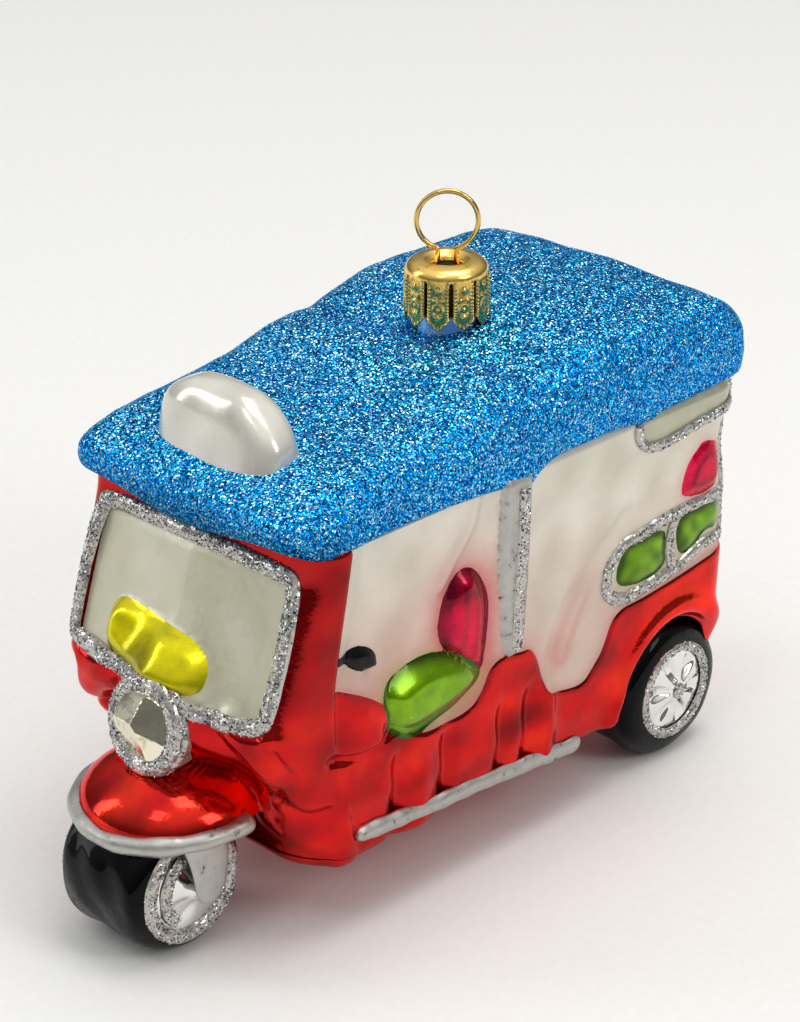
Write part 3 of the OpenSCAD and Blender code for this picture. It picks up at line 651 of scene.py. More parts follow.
print("the red edge has", len(RED_EDGE), "points, the arch is", 2 * ARCH_RY, "mm wide")


# %% The wheel arch
def arch_ratio(y, z):
    """1 on the arch's half ellipse, less inside it and more outside."""
    return np.sqrt(((y - ARCH_Y) / ARCH_RY) ** 2 + ((z - ARCH_Z) / ARCH_RZ) ** 2)


def arch_depth(y, z, x):
    """How far a point is inside a wheel well: inside the half ellipse of the arch, or below
    the notch behind it, and outside the wheel's inner face."""
    notch = np.minimum(NOTCH_Z - z, y - ARCH_Y - 6)
    opening = np.maximum((1 - arch_ratio(y, z)) * ARCH_SPREAD, notch)
    return np.minimum(opening, np.abs(x) - REAR_INNER - 0.6)


print("depth at the rear axle:", round(float(arch_depth(REAR_AXLE[1], REAR_R, REAR_AXLE[0])), 1))


# %% Depths inside the patches
def patches(s, z, side):
    """Signed distance to every patch, positive inside, for points (s, z) of one side."""
    f = across(s, z) * side
    edge = PANEL_Y + soft_line(z - FLOOR_Z, PANEL_EDGE)
    foot = SCREEN_FOOT - 1.5 * smooth((f + 12) / 20)
    pane = np.minimum(SCREEN_HALF + 0.8 - np.abs(f + 0.8), np.minimum(z - foot, SCREEN_HEAD - z))
    return {
        "number_panel": depth_in(f, z, PLATE),
        "windscreen": pane,
        "front_panel": edge - s,
        "handlebar_grips": depth_in(s, z, GRIP),
        "driver_cushions": depth_in(s, z, CUSHION),
        "driver_backrests": depth_in(s, z, BACKREST),
        "pillar": depth_in(s, z, PILLAR),
        "passenger_backrests": depth_in(s, z, PINK_BACK),
        "passenger_cushions": np.maximum(depth_in(s, z, GREEN_FRONT), depth_in(s, z, GREEN_BACK)),
        "window_band": depth_in(s, z, BAND),
        "lower_body": depth_in(s, z, RED_EDGE),
    }


# %% [markdown]
# The relief is a height over the plain skin, built in layers from the wall outwards: folds,
# then what is raised, then the arch's lip, then the nose. Every layer is a few soft steps and
# ridges of the distances above, so nothing on the glass has a hard edge.

# %% Relief of the side
BAY_SINK = 1.3
RAISED = [("driver_backrests", 2.1, 3.4), ("driver_cushions", 2.9, 4.5),
          ("handlebar_grips", 1.6, 1.3)]


def side_folds(s, z, d):
    """The sunk bays, the proud red foot and front panel, the drawn folds, the grooves and
    ridges low on the side, and the swelling of the dashboard."""
    red = d["lower_body"]
    on_side = step_up(s - (PANEL_Y + 1.5), 2.5)
    driver_bay = np.minimum(np.minimum(-d["front_panel"], -red), PILLAR_Y - 2.2 - s)
    h = -BAY_SINK * smooth(driver_bay / 4.5)
    rear_bay = np.minimum(np.minimum(s - PILLAR_Y - 2.2, -red), REAR_AXLE[1] - 12 - s)
    h += -0.7 * smooth(rear_bay / 5)
    h += 0.7 * step_up(red, 1.8) * on_side
    h += 0.5 * step_up(d["front_panel"], 1.4)
    h += 0.7 * ridge(distance_to(s, z, SEAT_FOLD), 1.3)
    h += -0.7 * ridge(distance_to(s, z, BAY_FOLD), 1.6)
    h += 0.45 * ridge(distance_to(s, z, SWEEP_FOLD), 2.2)
    low = step_up(FLOOR_Z + 15.5 - z, 5) * on_side
    for groove in GROOVES:
        h += -0.8 * ridge(s - PILLAR_Y - groove, 1.5) * low
    h += 0.8 * ridge(s - PILLAR_Y - 9.5, 1.7) * low
    h += 0.6 * ridge(s - PILLAR_Y + 18, 2.2) * low
    h += 0.35 * ridge(z - FLOOR_Z - 8 + 0.1 * (s - PILLAR_Y), 2.3) * on_side * low
    dash = np.minimum(s - PANEL_Y - 2, 13.5 - (s - PANEL_Y))
    h += 1.1 * smooth(dash / 4) * smooth((red - 0.5) / 3) * step_up(z - FLOOR_Z - 19, 3)
    h += -0.8 * ridge(distance_to(s, z, DASH_FOLD), 0.9)
    return h


def add_raised(h, d):
    """Lays the pillar, seats and grips over the folds: where a patch's rounded height is more
    than what is under it, it is taken instead."""
    pillar = -BAY_SINK + 2.5 * dome(d["pillar"] + 0.4, 1.3)
    h = np.where(d["pillar"] > -1.5, np.maximum(h, pillar), h)
    for name, height, reach in RAISED:
        raised = -BAY_SINK + height * dome(d[name], reach)
        h = np.where(d[name] > 0, np.maximum(h, raised), h)
    h += 0.9 * dome(d["passenger_backrests"], 3)
    h += 0.5 * dome(d["passenger_cushions"], 3)
    h += -0.4 * step_up(d["window_band"], 1.6)
    return h


def add_arch_lip(h, s, z):
    """The wheel arch: a flared lip that rolls in towards the wheel."""
    lip = (arch_ratio(s, z) - 1) * ARCH_SPREAD
    h += 1.1 * ridge(lip - 2.6, 1.7) * step_up(z - FLOOR_Z, 4)
    h += -1.4 * ridge(np.maximum(lip, 0), 0.7)
    return h


print("layers over the wall:", ", ".join(name for name, _, _ in RAISED))


# %% Relief of the nose
def apron_folds(f, z):
    """Soft folds of the apron beside the lamp: hollows and ridges along drawn lines, with f
    across the nose and z up from the belly's level."""
    up = z - FLOOR_Z
    h = -1.6 * ridge(distance_to(f, up, [(9.5, 25), (11.5, 21), (15.5, 18.5), (18, 16)]), 1.5)
    h += 0.9 * ridge(distance_to(f, up, [(13, 26.5), (16.5, 23), (20, 19), (21.5, 14)]), 2.0)
    h += -1.1 * ridge(distance_to(f, up, [(21.5, 24), (22.5, 20.5), (21, 17)]), 1.3)
    h += 0.8 * ridge(distance_to(f, up, [(13, 8), (18, 6.5), (23, 4)]), 2.6)
    h += -0.8 * ridge(distance_to(f, up, [(17, 12.5), (21, 10.5), (24, 11)]), 1.2)
    return h


def add_nose(h, f, wide, z, d):
    """The nose: the pane lies sunk in its frame and bulges in its middle, the number panel is
    a row of lobes, the glass swells under the lamp, and the apron has its folds."""
    pane = d["windscreen"]
    h += -0.45 * step_up(pane + 0.6, 1.2)
    h += 0.8 * np.clip(1 - np.abs(wide + 1) / 17, 0, 1) * step_up(pane, 3)
    lobes = 0.8 + 0.2 * np.cos((wide + 13) / 19 * 2 * np.pi * 1.5)
    h += 2.0 * dome(d["number_panel"], 2.6) * lobes
    lamp_away = np.hypot(f, z - LAMP_Z)
    h += 3.2 * ridge(np.maximum(lamp_away - 4, 0), 5.5)
    h += step_up(d["front_panel"], 3) * apron_folds(f, z)
    return h


# %% The finished skin
def relief(s, z, side, d):
    """Height of the moulding over the plain skin, in layers from the wall outwards."""
    f = across(s, z)
    h = side_folds(s, z, d)
    h = add_raised(h, d)
    h = add_arch_lip(h, s, z)
    return add_nose(h, f, f * side, z, d)


def skin(s, z, side=1):
    """A finished point of the skin and its outward direction."""
    d = patches(s, z, side)
    normal = plain_normal(s, z)
    return plain(s, z) + normal * relief(s, z, side, d)[..., None], normal, d


seat = skin(np.array([PILLAR_Y - 9.0]), np.array([FLOOR_Z + 33.0]))[0][0]
print("the driver's backrest stands at", np.round(seat, 1))

# %% [markdown]
# The front fender is a low dome that grows out of the apron. Seen from above, each level of
# the nose is one closed curve, so the dome is blended in along rays from a point inside the
# nose: on each ray the longer of the two reaches wins, with a fillet between them.

# %% The fender's dome
DOME_H = 7.3
HUB_Y = PANEL_Y + 5.8


def fender_reach(points):
    """Along the ray from the nose's inner point through each point: the point's own reach,
    and the reach of the dome's circle at that height."""
    ray = points[..., :2] - np.array([0, HUB_Y])
    reach = np.linalg.norm(ray, axis=-1)
    ray = ray / np.maximum(reach, 1e-9)[..., None]
    rise = np.clip((points[..., 2] - RIM_Z) / DOME_H, 0, 1)
    radius = RIM_R * np.sqrt(1 - rise ** 2)
    middle_y = RIM_Y - HUB_Y
    near = ray[..., 1] * middle_y
    rest = radius ** 2 - (ray[..., 0] * middle_y) ** 2
    far = near + np.sqrt(np.maximum(rest, 0)) - np.sqrt(np.maximum(-rest, 0))
    level = (points[..., 2] >= RIM_Z - 0.01) & (rise < 1)
    ahead = points[..., 1] < HUB_Y
    return ray, reach, np.where(level & ahead, far, -50)


def add_fender(points):
    """Pushes the nose out to the dome. Returns the points and how far each one moved."""
    ray, reach, far = fender_reach(points)
    longer = soft_max(far, reach, 3.0)
    moved = points.copy()
    moved[..., :2] = np.array([0, HUB_Y]) + ray * longer[..., None]
    return moved, longer - reach


# %% The grid of the skin
COLUMNS = (60, 18, 176, 22, 42)


def heights():
    """The skin's levels: even steps, with closer ones where the fender's dome is flat."""
    low = np.arange(FLOOR_Z + EDGE_R, RIM_Z - 0.3, 0.5)
    rise = RIM_Z + DOME_H * np.sin(np.radians(np.arange(0, 90.1, 3.2)))
    high = np.arange(rise[-1] + 0.35, TOP_Z, 0.5)
    return np.concatenate([low, [RIM_Z - 0.12], rise, high])


def stations(z):
    """The skin's columns at one or more levels: s from the nose's middle to the tail's, with
    even steps along the nose, its corner, the side, the tail's corner and the tail."""
    _, _, nose_r, side_0, side_1 = corners(z)
    z = np.asarray(z, float)[..., None]
    nose_r, side_0, side_1 = (v[..., None] for v in (nose_r, side_0, side_1))
    corner_0 = side_0 - nose_r * QUARTER
    corner_1 = side_1 + TAIL_R * QUARTER
    start = corner_0 - (wall(side_0, z) - nose_r)
    end = corner_1 + wall(side_1, z) - TAIL_R
    nose_t, turn_t, side_t, tail_t = (np.linspace(0, 1, n)[:-1] for n in COLUMNS[:-1])
    back_t = np.linspace(0, 1, COLUMNS[-1])
    return np.concatenate([
        start + (corner_0 - start) * nose_t, corner_0 + (side_0 - corner_0) * turn_t,
        side_0 + (side_1 - side_0) * side_t, side_1 + (corner_1 - side_1) * tail_t,
        corner_1 + (end - corner_1) * back_t], axis=-1)


print("levels:", len(heights()), "columns on a side:", sum(COLUMNS) - len(COLUMNS) + 1)

# %% Both sides as one ring
levels = heights()
columns_s = stations(levels)
columns_z = np.broadcast_to(levels[:, None], columns_s.shape)
half_rings = {}
for side in (1, -1):
    points, normal, depth = skin(columns_s, columns_z, side)
    points, pushed = add_fender(points)
    depth["front_fender"] = np.where(columns_z > RIM_Z - 0.2, pushed - 0.8, -1.0)
    points[..., 0] *= side
    half_rings[side] = (points, depth)
PATCHES = list(half_rings[1][1])


def around(left, right):
    """One ring from two halves: up the left side to the tail, and back along the right."""
    return np.concatenate([left, right[:, -2:0:-1]], axis=1)


wall_points = around(half_rings[1][0], half_rings[-1][0])
fields = {n: around(half_rings[1][1][n], half_rings[-1][1][n]) for n in PATCHES}
wall_s = around(columns_s, columns_s)
ROWS, RING = wall_points.shape[:2]
print("skin grid:", ROWS, "by", RING)

# %% [markdown]
# The belly closes the skin: its lowest level turns in through a small radius and shrinks to a
# line under the middle. The top stays open under the roof.

# %% The belly
bottom = wall_points[0]
spine = np.stack([np.zeros(RING), np.clip(bottom[:, 1], PANEL_Y + 14, BACK_Y - 20),
                  np.full(RING, FLOOR_Z)], axis=1)
to_spine = spine - bottom
to_spine[:, 2] = 0
to_spine /= np.maximum(np.linalg.norm(to_spine, axis=1, keepdims=True), 1e-9)
belly = [bottom + to_spine * EDGE_R * (1 - np.sin(turn))
         + np.array([0, 0, -EDGE_R * np.cos(turn)]) for turn in np.radians([72, 54, 36, 18, 0])]
flat = belly[-1]
belly += [flat + (spine - flat) * t for t in np.linspace(0, 1, 13)[1:]]
belly = np.array(belly[::-1])
extra = len(belly)
skin_points = np.concatenate([belly, wall_points]).reshape(-1, 3)
skin_triangles = grid_triangles(ROWS + extra, RING)
print("skin triangles:", len(skin_triangles))

# %% [markdown]
# The belly has no patches of its own. It belongs to the red foot, so it is given a depth well
# inside the foot's outline and well outside all the others, and no relief.

# %% Fields of the whole skin
WELL_INSIDE = 6.0
for name in PATCHES:
    low = np.full((extra, RING), WELL_INSIDE if name == "lower_body" else -WELL_INSIDE)
    fields[name] = np.concatenate([low, fields[name]]).ravel()
s_all = np.concatenate([np.broadcast_to(wall_s[0], (extra, RING)), wall_s]).ravel()
x_all, y_all, z_all = skin_points.T
wells = arch_depth(y_all, z_all, x_all)
print("points inside the wheel wells:", int((wells > 0).sum()))

# %% [markdown]
# ## Painting the skin
# Paint on the ornament overlaps and fades. So the colour is worked out at every point of the
# skin from the same distances: a haze of pink around the backrest, a green breath round the
# cushions, a blush low in the bays that also darkens them as painted shade, painted shade along
# the seats' edges and the number plate's foot, and lacquer that runs darker and lighter in streaks.

# %% Paint
def mix(a, b, share):
    """Blends two colours or colour arrays by a share from 0 to 1."""
    share = np.clip(share, 0, 1)[:, None]
    return a * (1 - share) + b * share


def haze(name, reach):
    """Overspray outside a patch: 1 at its outline, fading over a reach."""
    return np.exp(-np.maximum(-fields[name], 0) / reach)


patchy = lumps(skin_points, 9, 11)
fine = lumps(skin_points, 2.6, 12, waves=20)
print("brush patches run from", np.round([patchy.min(), patchy.max()], 2))

# %% The pearl wall
pearl_paint = mix(PEARL, WARM_WHITE, 0.35 + 0.5 * patchy)
# A darker pink-beige low on the walls, most in the sunk driver's bay: partly a blush of pink,
# partly painted shade in the recess.
low_down = smooth((FLOOR_Z + 50 - z_all) / 34)
in_bay = smooth((PILLAR_Y - s_all) / 4)
pearl_paint = mix(pearl_paint, BLUSH_AND_SHADE, low_down * (0.45 + 0.7 * in_bay)
                  * (0.8 + 0.5 * lumps(skin_points, 14, 13)))
pearl_paint = mix(pearl_paint, PINK, 0.46 * haze("driver_backrests", 1.8)
                  + 0.18 * haze("driver_backrests", 6))
fold = distance_to(s_all, z_all, SWEEP_FOLD)
pearl_paint = mix(pearl_paint, ROSE,
                  0.4 * ridge(fold - 1.2, 1.3) * smooth((FLOOR_Z + 36 - z_all) / 16))
pearl_paint = mix(pearl_paint, RED_BREATH, 0.35 * haze("lower_body", 1.0)
                  + 0.12 * haze("lower_body", 3.5))
pearl_paint = mix(pearl_paint, GREEN, 0.30 * haze("driver_cushions", 1.1))
pearl_paint = mix(pearl_paint, PINK, 0.3 * haze("passenger_backrests", 0.9))
pearl_paint = mix(pearl_paint, GREEN, 0.35 * haze("passenger_cushions", 0.8))
print("pearl runs from", np.round(pearl_paint.min(0), 2), "to", np.round(pearl_paint.max(0), 2))

# %% The red lacquer
flow = lumps(skin_points * np.array([1, 0.5, 1]), 7, 14)
red_paint = mix(RED, DEEP_RED, 0.30 + 0.7 * np.clip(flow, 0, 1) + 0.15 * fine)
red_paint = mix(red_paint, ORANGE_RED, 0.6 * np.clip(-flow, 0, 1)
                + 0.6 * smooth((s_all - REAR_AXLE[1] + 16) / 10))
red_paint = mix(red_paint, DEEP_RED, 0.55 * (fields["front_panel"] > 0)
                * smooth((z_all - FLOOR_Z - 24) / 10))
red_paint = mix(red_paint, ORANGE_RED, 0.75 * np.clip(fields["front_fender"], 0, 1)
                * (0.5 + 0.8 * lumps(skin_points, 8, 15)))
red_paint = mix(red_paint, WINE,
                0.7 * ridge(fields["lower_body"] - 0.3, 0.35) * (fields["front_panel"] < 0))
print("red runs from", np.round(red_paint.min(0), 2), "to", np.round(red_paint.max(0), 2))

# %% The small patches
pane_paint = mix(PANE, PALE_PANE, 0.25 + 0.4 * patchy + 0.4 * ridge(x_all + 9, 8))
# The number plate turns olive towards its foot, along a wavy line: painted shade.
plate_shade_level = np.clip((z_all - SCREEN_Z - 4.5) / 3 + 0.5 * np.sin(x_all * 0.45), -1, 1)
yellow_paint = mix(YELLOW, OLIVE_SHADE, 0.75 * smooth(0.5 - plate_shade_level * 0.6))
# The driver's backrests darken along their edge, where they meet the wall, and along a level near
# their top: painted shade. Upright stripes darken them too.
pink_paint = mix(PINK, DARK_PINK, 0.9 * ridge(fields["driver_backrests"] - 0.2, 0.9)
                 + 0.4 * np.clip(np.sin(s_all * 2.4), 0, 1) + 0.8 * ridge(z_all - 49.5, 1.8))
rear_pink = mix(PINK, DARK_PINK, 0.8 * ridge(fields["passenger_backrests"] - 2.1, 0.5)
                + 0.5 * np.clip(fine, 0, 1))
# The driver's cushions darken along their edge, where they meet the wall, and towards their lower
# back corner, where they turn dark brown: painted shade.
green_paint = mix(GREEN, DARK_GREEN, 1.0 * ridge(fields["driver_cushions"], 1.1)
                  + 0.35 * np.clip(-fine, 0, 1))
green_paint = mix(green_paint, CUSHION_SHADE_BROWN,
                  0.8 * smooth((s_all - PILLAR_Y + 15) / 6) * smooth((FLOOR_Z + 24 - z_all) / 5))
# The rear cushions are darker green in random patches, and darker still along their edge: painted
# shade.
rear_green = mix(GREEN, DARK_GREEN, 0.4 + 0.6 * fine
                 + 0.8 * ridge(fields["passenger_cushions"], 0.9))
band_paint = mix(PANE, BAND_SHADE, 0.4 + 0.5 * patchy)
silver_paint = mix(SILVER, BRIGHT_SILVER, 0.3 + 0.5 * fine)
black_paint = np.broadcast_to(BLACK, skin_points.shape)
print("painted points:", len(skin_points))


# %% [markdown]
# ## Cutting the skin into its pieces
# Every piece keeps the part of the skin where its own field is above zero. A triangle that
# the field's zero line crosses is cut there, so two neighbours meet on the same smooth line.
# Then each piece gets its glass thickness: the same surface again, a little further in, and a
# strip around its edge.

# %% Cutting
GLASS = 0.8


def cut(points, triangles, field, paint):
    """Keeps the part of a mesh where field > 0. Each crossed edge gets one new point, at the
    share of its length where the field is zero."""
    inside = field > 0
    count = inside[triangles].sum(axis=1)

    def turned(chosen, odd):
        shift = np.argmax(inside[chosen] == odd, axis=1)
        order = (shift[:, None] + np.arange(3)) % 3
        return np.take_along_axis(chosen, order, axis=1)

    one = turned(triangles[count == 1], True)
    two = turned(triangles[count == 2], False)
    edges = np.vstack([one[:, [0, 1]], one[:, [0, 2]], two[:, [0, 1]], two[:, [0, 2]]])
    edges = np.sort(edges, axis=1)
    keys, index = np.unique(edges[:, 0] * len(points) + edges[:, 1], return_inverse=True)
    a, b = keys // len(points), keys % len(points)
    t = (field[a] / (field[a] - field[b]))[:, None]
    new = len(points) + index.reshape(-1)
    c1, c2 = new[:len(one)], new[len(one):2 * len(one)]
    c3, c4 = new[2 * len(one):2 * len(one) + len(two)], new[2 * len(one) + len(two):]
    kept = np.vstack([
        triangles[count == 3], np.stack([one[:, 0], c1, c2], axis=1),
        np.stack([c3, two[:, 1], two[:, 2]], axis=1), np.stack([c3, two[:, 2], c4], axis=1)])
    points = np.vstack([points, points[a] + t * (points[b] - points[a])])
    paint = np.vstack([paint, paint[a] + t * (paint[b] - paint[a])])
    used, kept = np.unique(kept, return_inverse=True)
    return welded(points[used], kept.reshape(-1, 3), paint[used])


# %% Closing
def closed_shell(points, triangles, paint, thickness=GLASS):
    """Gives a surface its thickness: its points again along their normals, its faces again
    turned round, and two triangles for each edge that only one face has."""
    inner = points - normals_of(points, triangles) * thickness
    n = len(points)
    pairs = np.vstack([triangles[:, [0, 1]], triangles[:, [1, 2]], triangles[:, [2, 0]]])
    forward = pairs[:, 0] * n + pairs[:, 1]
    border = pairs[~np.isin(pairs[:, 1] * n + pairs[:, 0], forward)]
    a, b = border.T
    rim = np.vstack([np.stack([b, a, a + n], axis=1), np.stack([b, a + n, b + n], axis=1)])
    faces = np.vstack([triangles, triangles[:, ::-1] + n, rim])
    return np.vstack([points, inner]), faces, np.vstack([paint, paint])


# %% The shells
taken = wells.copy()
SHELLS = [
    ("number_panel", "number_panel", yellow_paint, yellow_lacquer, "yellow_lacquer"),
    ("windscreen", "windscreen", pane_paint, pane_satin, "pane_satin"),
    ("front_fender", "front_fender", red_paint, red_lacquer, "red_lacquer"),
    ("front_panel", "front_panel", red_paint, red_lacquer, "red_lacquer"),
    ("handlebar_grips", "handlebar_grips", black_paint, black_lacquer, "black_lacquer"),
    ("driver_cushions", "driver_cushions", green_paint, green_lacquer, "green_lacquer"),
    ("driver_backrests", "driver_backrests", pink_paint, pink_lacquer, "pink_lacquer"),
    ("pillar_left", "pillar", silver_paint, silver_satin, "silver_satin"),
    ("pillar_right", "pillar", silver_paint, silver_satin, "silver_satin"),
    ("passenger_backrests", "passenger_backrests", rear_pink, pink_lacquer, "pink_lacquer"),
    ("passenger_cushions", "passenger_cushions", rear_green, green_lacquer, "green_lacquer"),
    ("window_band", "window_band", band_paint, pane_satin, "pane_satin"),
    ("lower_body", "lower_body", red_paint, red_lacquer, "red_lacquer"),
    ("cab_shell", None, pearl_paint, pearl_lacquer, "pearl_lacquer"),
]
kept_shells = {}
for name, patch, paint, material, slot in SHELLS:
    own = fields[patch] if patch else np.full(len(skin_points), 50.0)
    field = np.minimum(own, -taken)
    if name == "pillar_left":
        field = np.minimum(field, x_all)
    if name == "pillar_right":
        field = np.minimum(field, -x_all)
    part = cut(skin_points, skin_triangles, field, paint)
    kept_shells[name] = closed_shell(*part)
    if patch and name != "pillar_left":
        taken = np.maximum(taken, own)
    print(name, len(part[1]), "triangles on the outside")

# %% [markdown]
# The rear wheels stand in wells. A well is the arch's line carried inwards, and a flat wall
# behind the wheel. Both belong to the lower body.

# %% The wheel wells
def wheel_well(side):
    """The arch's line from its front foot over the top and back along the notch, swept from
    the wall inwards, with the wall behind the wheel as a strip down to the floor."""
    reach = math.degrees(math.asin((NOTCH_Z - ARCH_Z) / ARCH_RZ))
    angle = np.radians(np.linspace(180, reach, 40))
    y = ARCH_Y + ARCH_RY * np.cos(angle)
    z = ARCH_Z + ARCH_RZ * np.sin(angle)
    y = np.append(y, np.linspace(y[-1], BACK_Y - 0.6, 6)[1:])
    z = np.append(z, np.full(5, NOTCH_Z))
    outer = wall(y, z) - 1.3
    outer = np.minimum(outer, outer[0] + 3 - 3 * (np.maximum(y - BACK_Y + TAIL_R, 0) / 5) ** 2)
    rows = [np.stack([outer + (REAR_INNER - outer) * t, y, z], axis=1)
            for t in np.linspace(0, 1, 8)]
    rows += [np.stack([np.full(len(y), REAR_INNER), y, z + (FLOOR_Z - z) * t], axis=1)
             for t in np.linspace(0, 1, 5)[1:]]
    points = np.array(rows).reshape(-1, 3)
    triangles = grid_triangles(len(rows), len(y), wrap=False)
    points, triangles, _ = welded(points, triangles)
    if side > 0:
        return points, triangles
    return mirrored(points, triangles)


body_parts = [kept_shells["lower_body"]]
for side in (1, -1):
    # The wells are painted a darker red than the lacquer: painted shade inside them.
    body_parts.append((*wheel_well(side), DEEP_RED * 0.6))
kept_shells["lower_body"] = joined(body_parts)
for name, patch, paint, material, slot in SHELLS:
    p, t, c = kept_shells[name]
    piece(name, p, t, material, [name], paint=c, sharp=62)
print("shells:", len(SHELLS))

# %% [markdown]
# ## Lines of glue and glitter
# The frames, rails and rings are lines of glue from a squeeze bottle, dusted with coarse
# silver flakes. A line is a half-round bead swept along its path, a little uneven. Thousands
# of thin flakes lie on it, each a flat three-sided chip with its own tilt and its own colour,
# from a dark painted shade to a white painted glint.

# %% Beads
def resample(path, gap):
    """Even points along a broken path in space, a given gap apart."""
    path = np.asarray(path, float)
    lengths = np.concatenate([[0], np.cumsum(np.linalg.norm(np.diff(path[:, :3], axis=0), axis=1))])
    count = max(int(lengths[-1] / gap), 3)
    at = np.linspace(0, lengths[-1], count + 1)
    return np.stack([np.interp(at, lengths, path[:, i]) for i in range(path.shape[1])], axis=1)


def frames_along(path, normal, loop):
    """For each point of a path: the direction along it, and the direction across it."""
    if loop:
        along = np.roll(path, -1, axis=0) - np.roll(path, 1, axis=0)
    else:
        along = np.gradient(path, axis=0)
    along /= np.maximum(np.linalg.norm(along, axis=1, keepdims=True), 1e-9)
    side_way = np.cross(along, normal)
    side_way /= np.maximum(np.linalg.norm(side_way, axis=1, keepdims=True), 1e-9)
    return along, side_way


def bead(path, normal, width, height, loop=False, seed=1, wobble=0.12, corners_n=12):
    """A half-round line of glue: across the path its section is half an ellipse with a
    flattened foot, its size wavering a little, and its ends are drawn in to a point."""
    n = len(path)
    _, side_way = frames_along(path, normal, loop)
    size = 1 + wobble * lumps(path, width * 1.6, seed)
    if not loop:
        ends = np.minimum(np.arange(n), np.arange(n)[::-1]) / max(1.0, width * 0.5 / 0.35)
        size = size * np.sqrt(np.clip(ends * (2 - np.minimum(ends, 1)), 0, 1))
    turn = np.linspace(0, 2 * np.pi, corners_n, endpoint=False)
    lift = np.where(np.sin(turn) > 0, np.sin(turn), 0.35 * np.sin(turn))
    ring = (side_way[:, None] * (np.cos(turn)[None, :, None] * width / 2)
            + normal[:, None] * (lift[None, :, None] * height)) * size[:, None, None]
    points = path[:, None] + ring
    if loop:
        points = np.concatenate([points, points[:1]])
    triangles = grid_triangles(len(points), corners_n)
    triangles = triangles[:, ::-1]
    points, triangles, _ = welded(points.reshape(-1, 3), triangles)
    return points, triangles


# %% Flakes
def flakes(path, normal, width, height, density, size, seed, shades, loop=False):
    """Flat chips on a bead: each sits at a random place of the half-round section, tilted
    away from it at random, as a triangle with a slightly raised middle."""
    rng = np.random.default_rng(seed)
    steps = np.linalg.norm(np.diff(path, axis=0), axis=1)
    count = int(steps.sum() * width * density)
    _, side_way = frames_along(path, normal, loop)
    at = rng.uniform(0, len(path) - 1.001, count)
    i, t = at.astype(int), (at % 1)[:, None]
    centre = path[i] * (1 - t) + path[i + 1] * t
    turn = np.arccos(rng.uniform(-1, 1, count))[:, None]
    out = side_way[i] * np.cos(turn) * width / 2 + normal[i] * np.sin(turn) * height
    face = side_way[i] * np.cos(turn) / width * 2 + normal[i] * np.sin(turn) / height
    return chips(centre + out, face, size, rng, shades)


def chips(places, facing, size, rng, shades, lean=1.1):
    """Many flat chips as one mesh: three corners around each place and a fourth just above
    their middle, turned and tilted at random."""
    count = len(places)
    facing = facing / np.maximum(np.linalg.norm(facing, axis=1, keepdims=True), 1e-9)
    facing = facing + rng.normal(size=(count, 3)) * lean * 0.5
    facing /= np.linalg.norm(facing, axis=1, keepdims=True)
    first = np.cross(facing, rng.normal(size=(count, 3)))
    first /= np.maximum(np.linalg.norm(first, axis=1, keepdims=True), 1e-9)
    second = np.cross(facing, first)
    reach = size * rng.uniform(0.4, 0.72, (count, 3, 1))
    angle = (np.arange(3) * 2 * np.pi / 3 + rng.uniform(-0.4, 0.4, (count, 3)))[..., None]
    corners_at = places[:, None] + reach * (first[:, None] * np.cos(angle)
                                            + second[:, None] * np.sin(angle))
    top = (places + facing * size * 0.13)[:, None]
    points = np.concatenate([corners_at, top], axis=1).reshape(-1, 3)
    pattern = np.array([[0, 2, 1], [0, 1, 3], [1, 2, 3], [2, 0, 3]])
    triangles = (np.arange(count)[:, None, None] * 4 + pattern).reshape(-1, 3)
    shade = shades[rng.integers(0, len(shades), count)]
    return points, triangles, np.repeat(shade, 4, axis=0)


# %% A line of glitter
# Each flake takes one of these shades at random: the near-black ones are painted shade, the white
# and near-white ones painted glints.
SILVER_SHADES = np.array([
    tint(8, 8, 10), tint(40, 38, 40), tint(100, 96, 94), tint(160, 154, 148),
    tint(226, 222, 216), tint(255, 255, 255), tint(255, 255, 255), tint(255, 255, 255),
    tint(226, 206, 246), tint(206, 240, 222)])
BLUE_SHADES = np.array([
    tint(0, 40, 110), tint(0, 80, 170), tint(0, 130, 226), tint(30, 190, 250),
    tint(110, 226, 255), tint(235, 252, 255)])
BEAD_GREY = tint(188, 184, 178)
BEAD_W, BEAD_H = 2.1, 0.75


def glitter_line(path, normal, width, height, seed, loop=False, density=9.0, size=0.42):
    """A bead and its flakes as one mesh with a paint array."""
    glue = bead(path, normal, width, height, loop, seed)
    chip = flakes(path, normal, width, height, density, size, seed + 100, SILVER_SHADES, loop)
    return joined([(*glue, BEAD_GREY), chip])


def glitter_piece(name, parts):
    """Joins beads and flakes into the one piece that they are on the ornament."""
    p, t, c = joined(parts)
    piece(name, p, t, silver_glitter, [name], paint=c, sharp=30)
    print(name, len(t), "triangles")


def on_skin(line, side=1, gap=0.35):
    """Carries a drawn (s, z) line onto the finished skin of one side."""
    line = resample(line, gap)
    points, normal, _ = skin(line[:, 0], line[:, 1], side)
    flip = np.array([side, 1, 1])
    return points * flip, normal * flip


print("glitter:", len(SILVER_SHADES), "silver shades,", len(BLUE_SHADES), "blue shades")


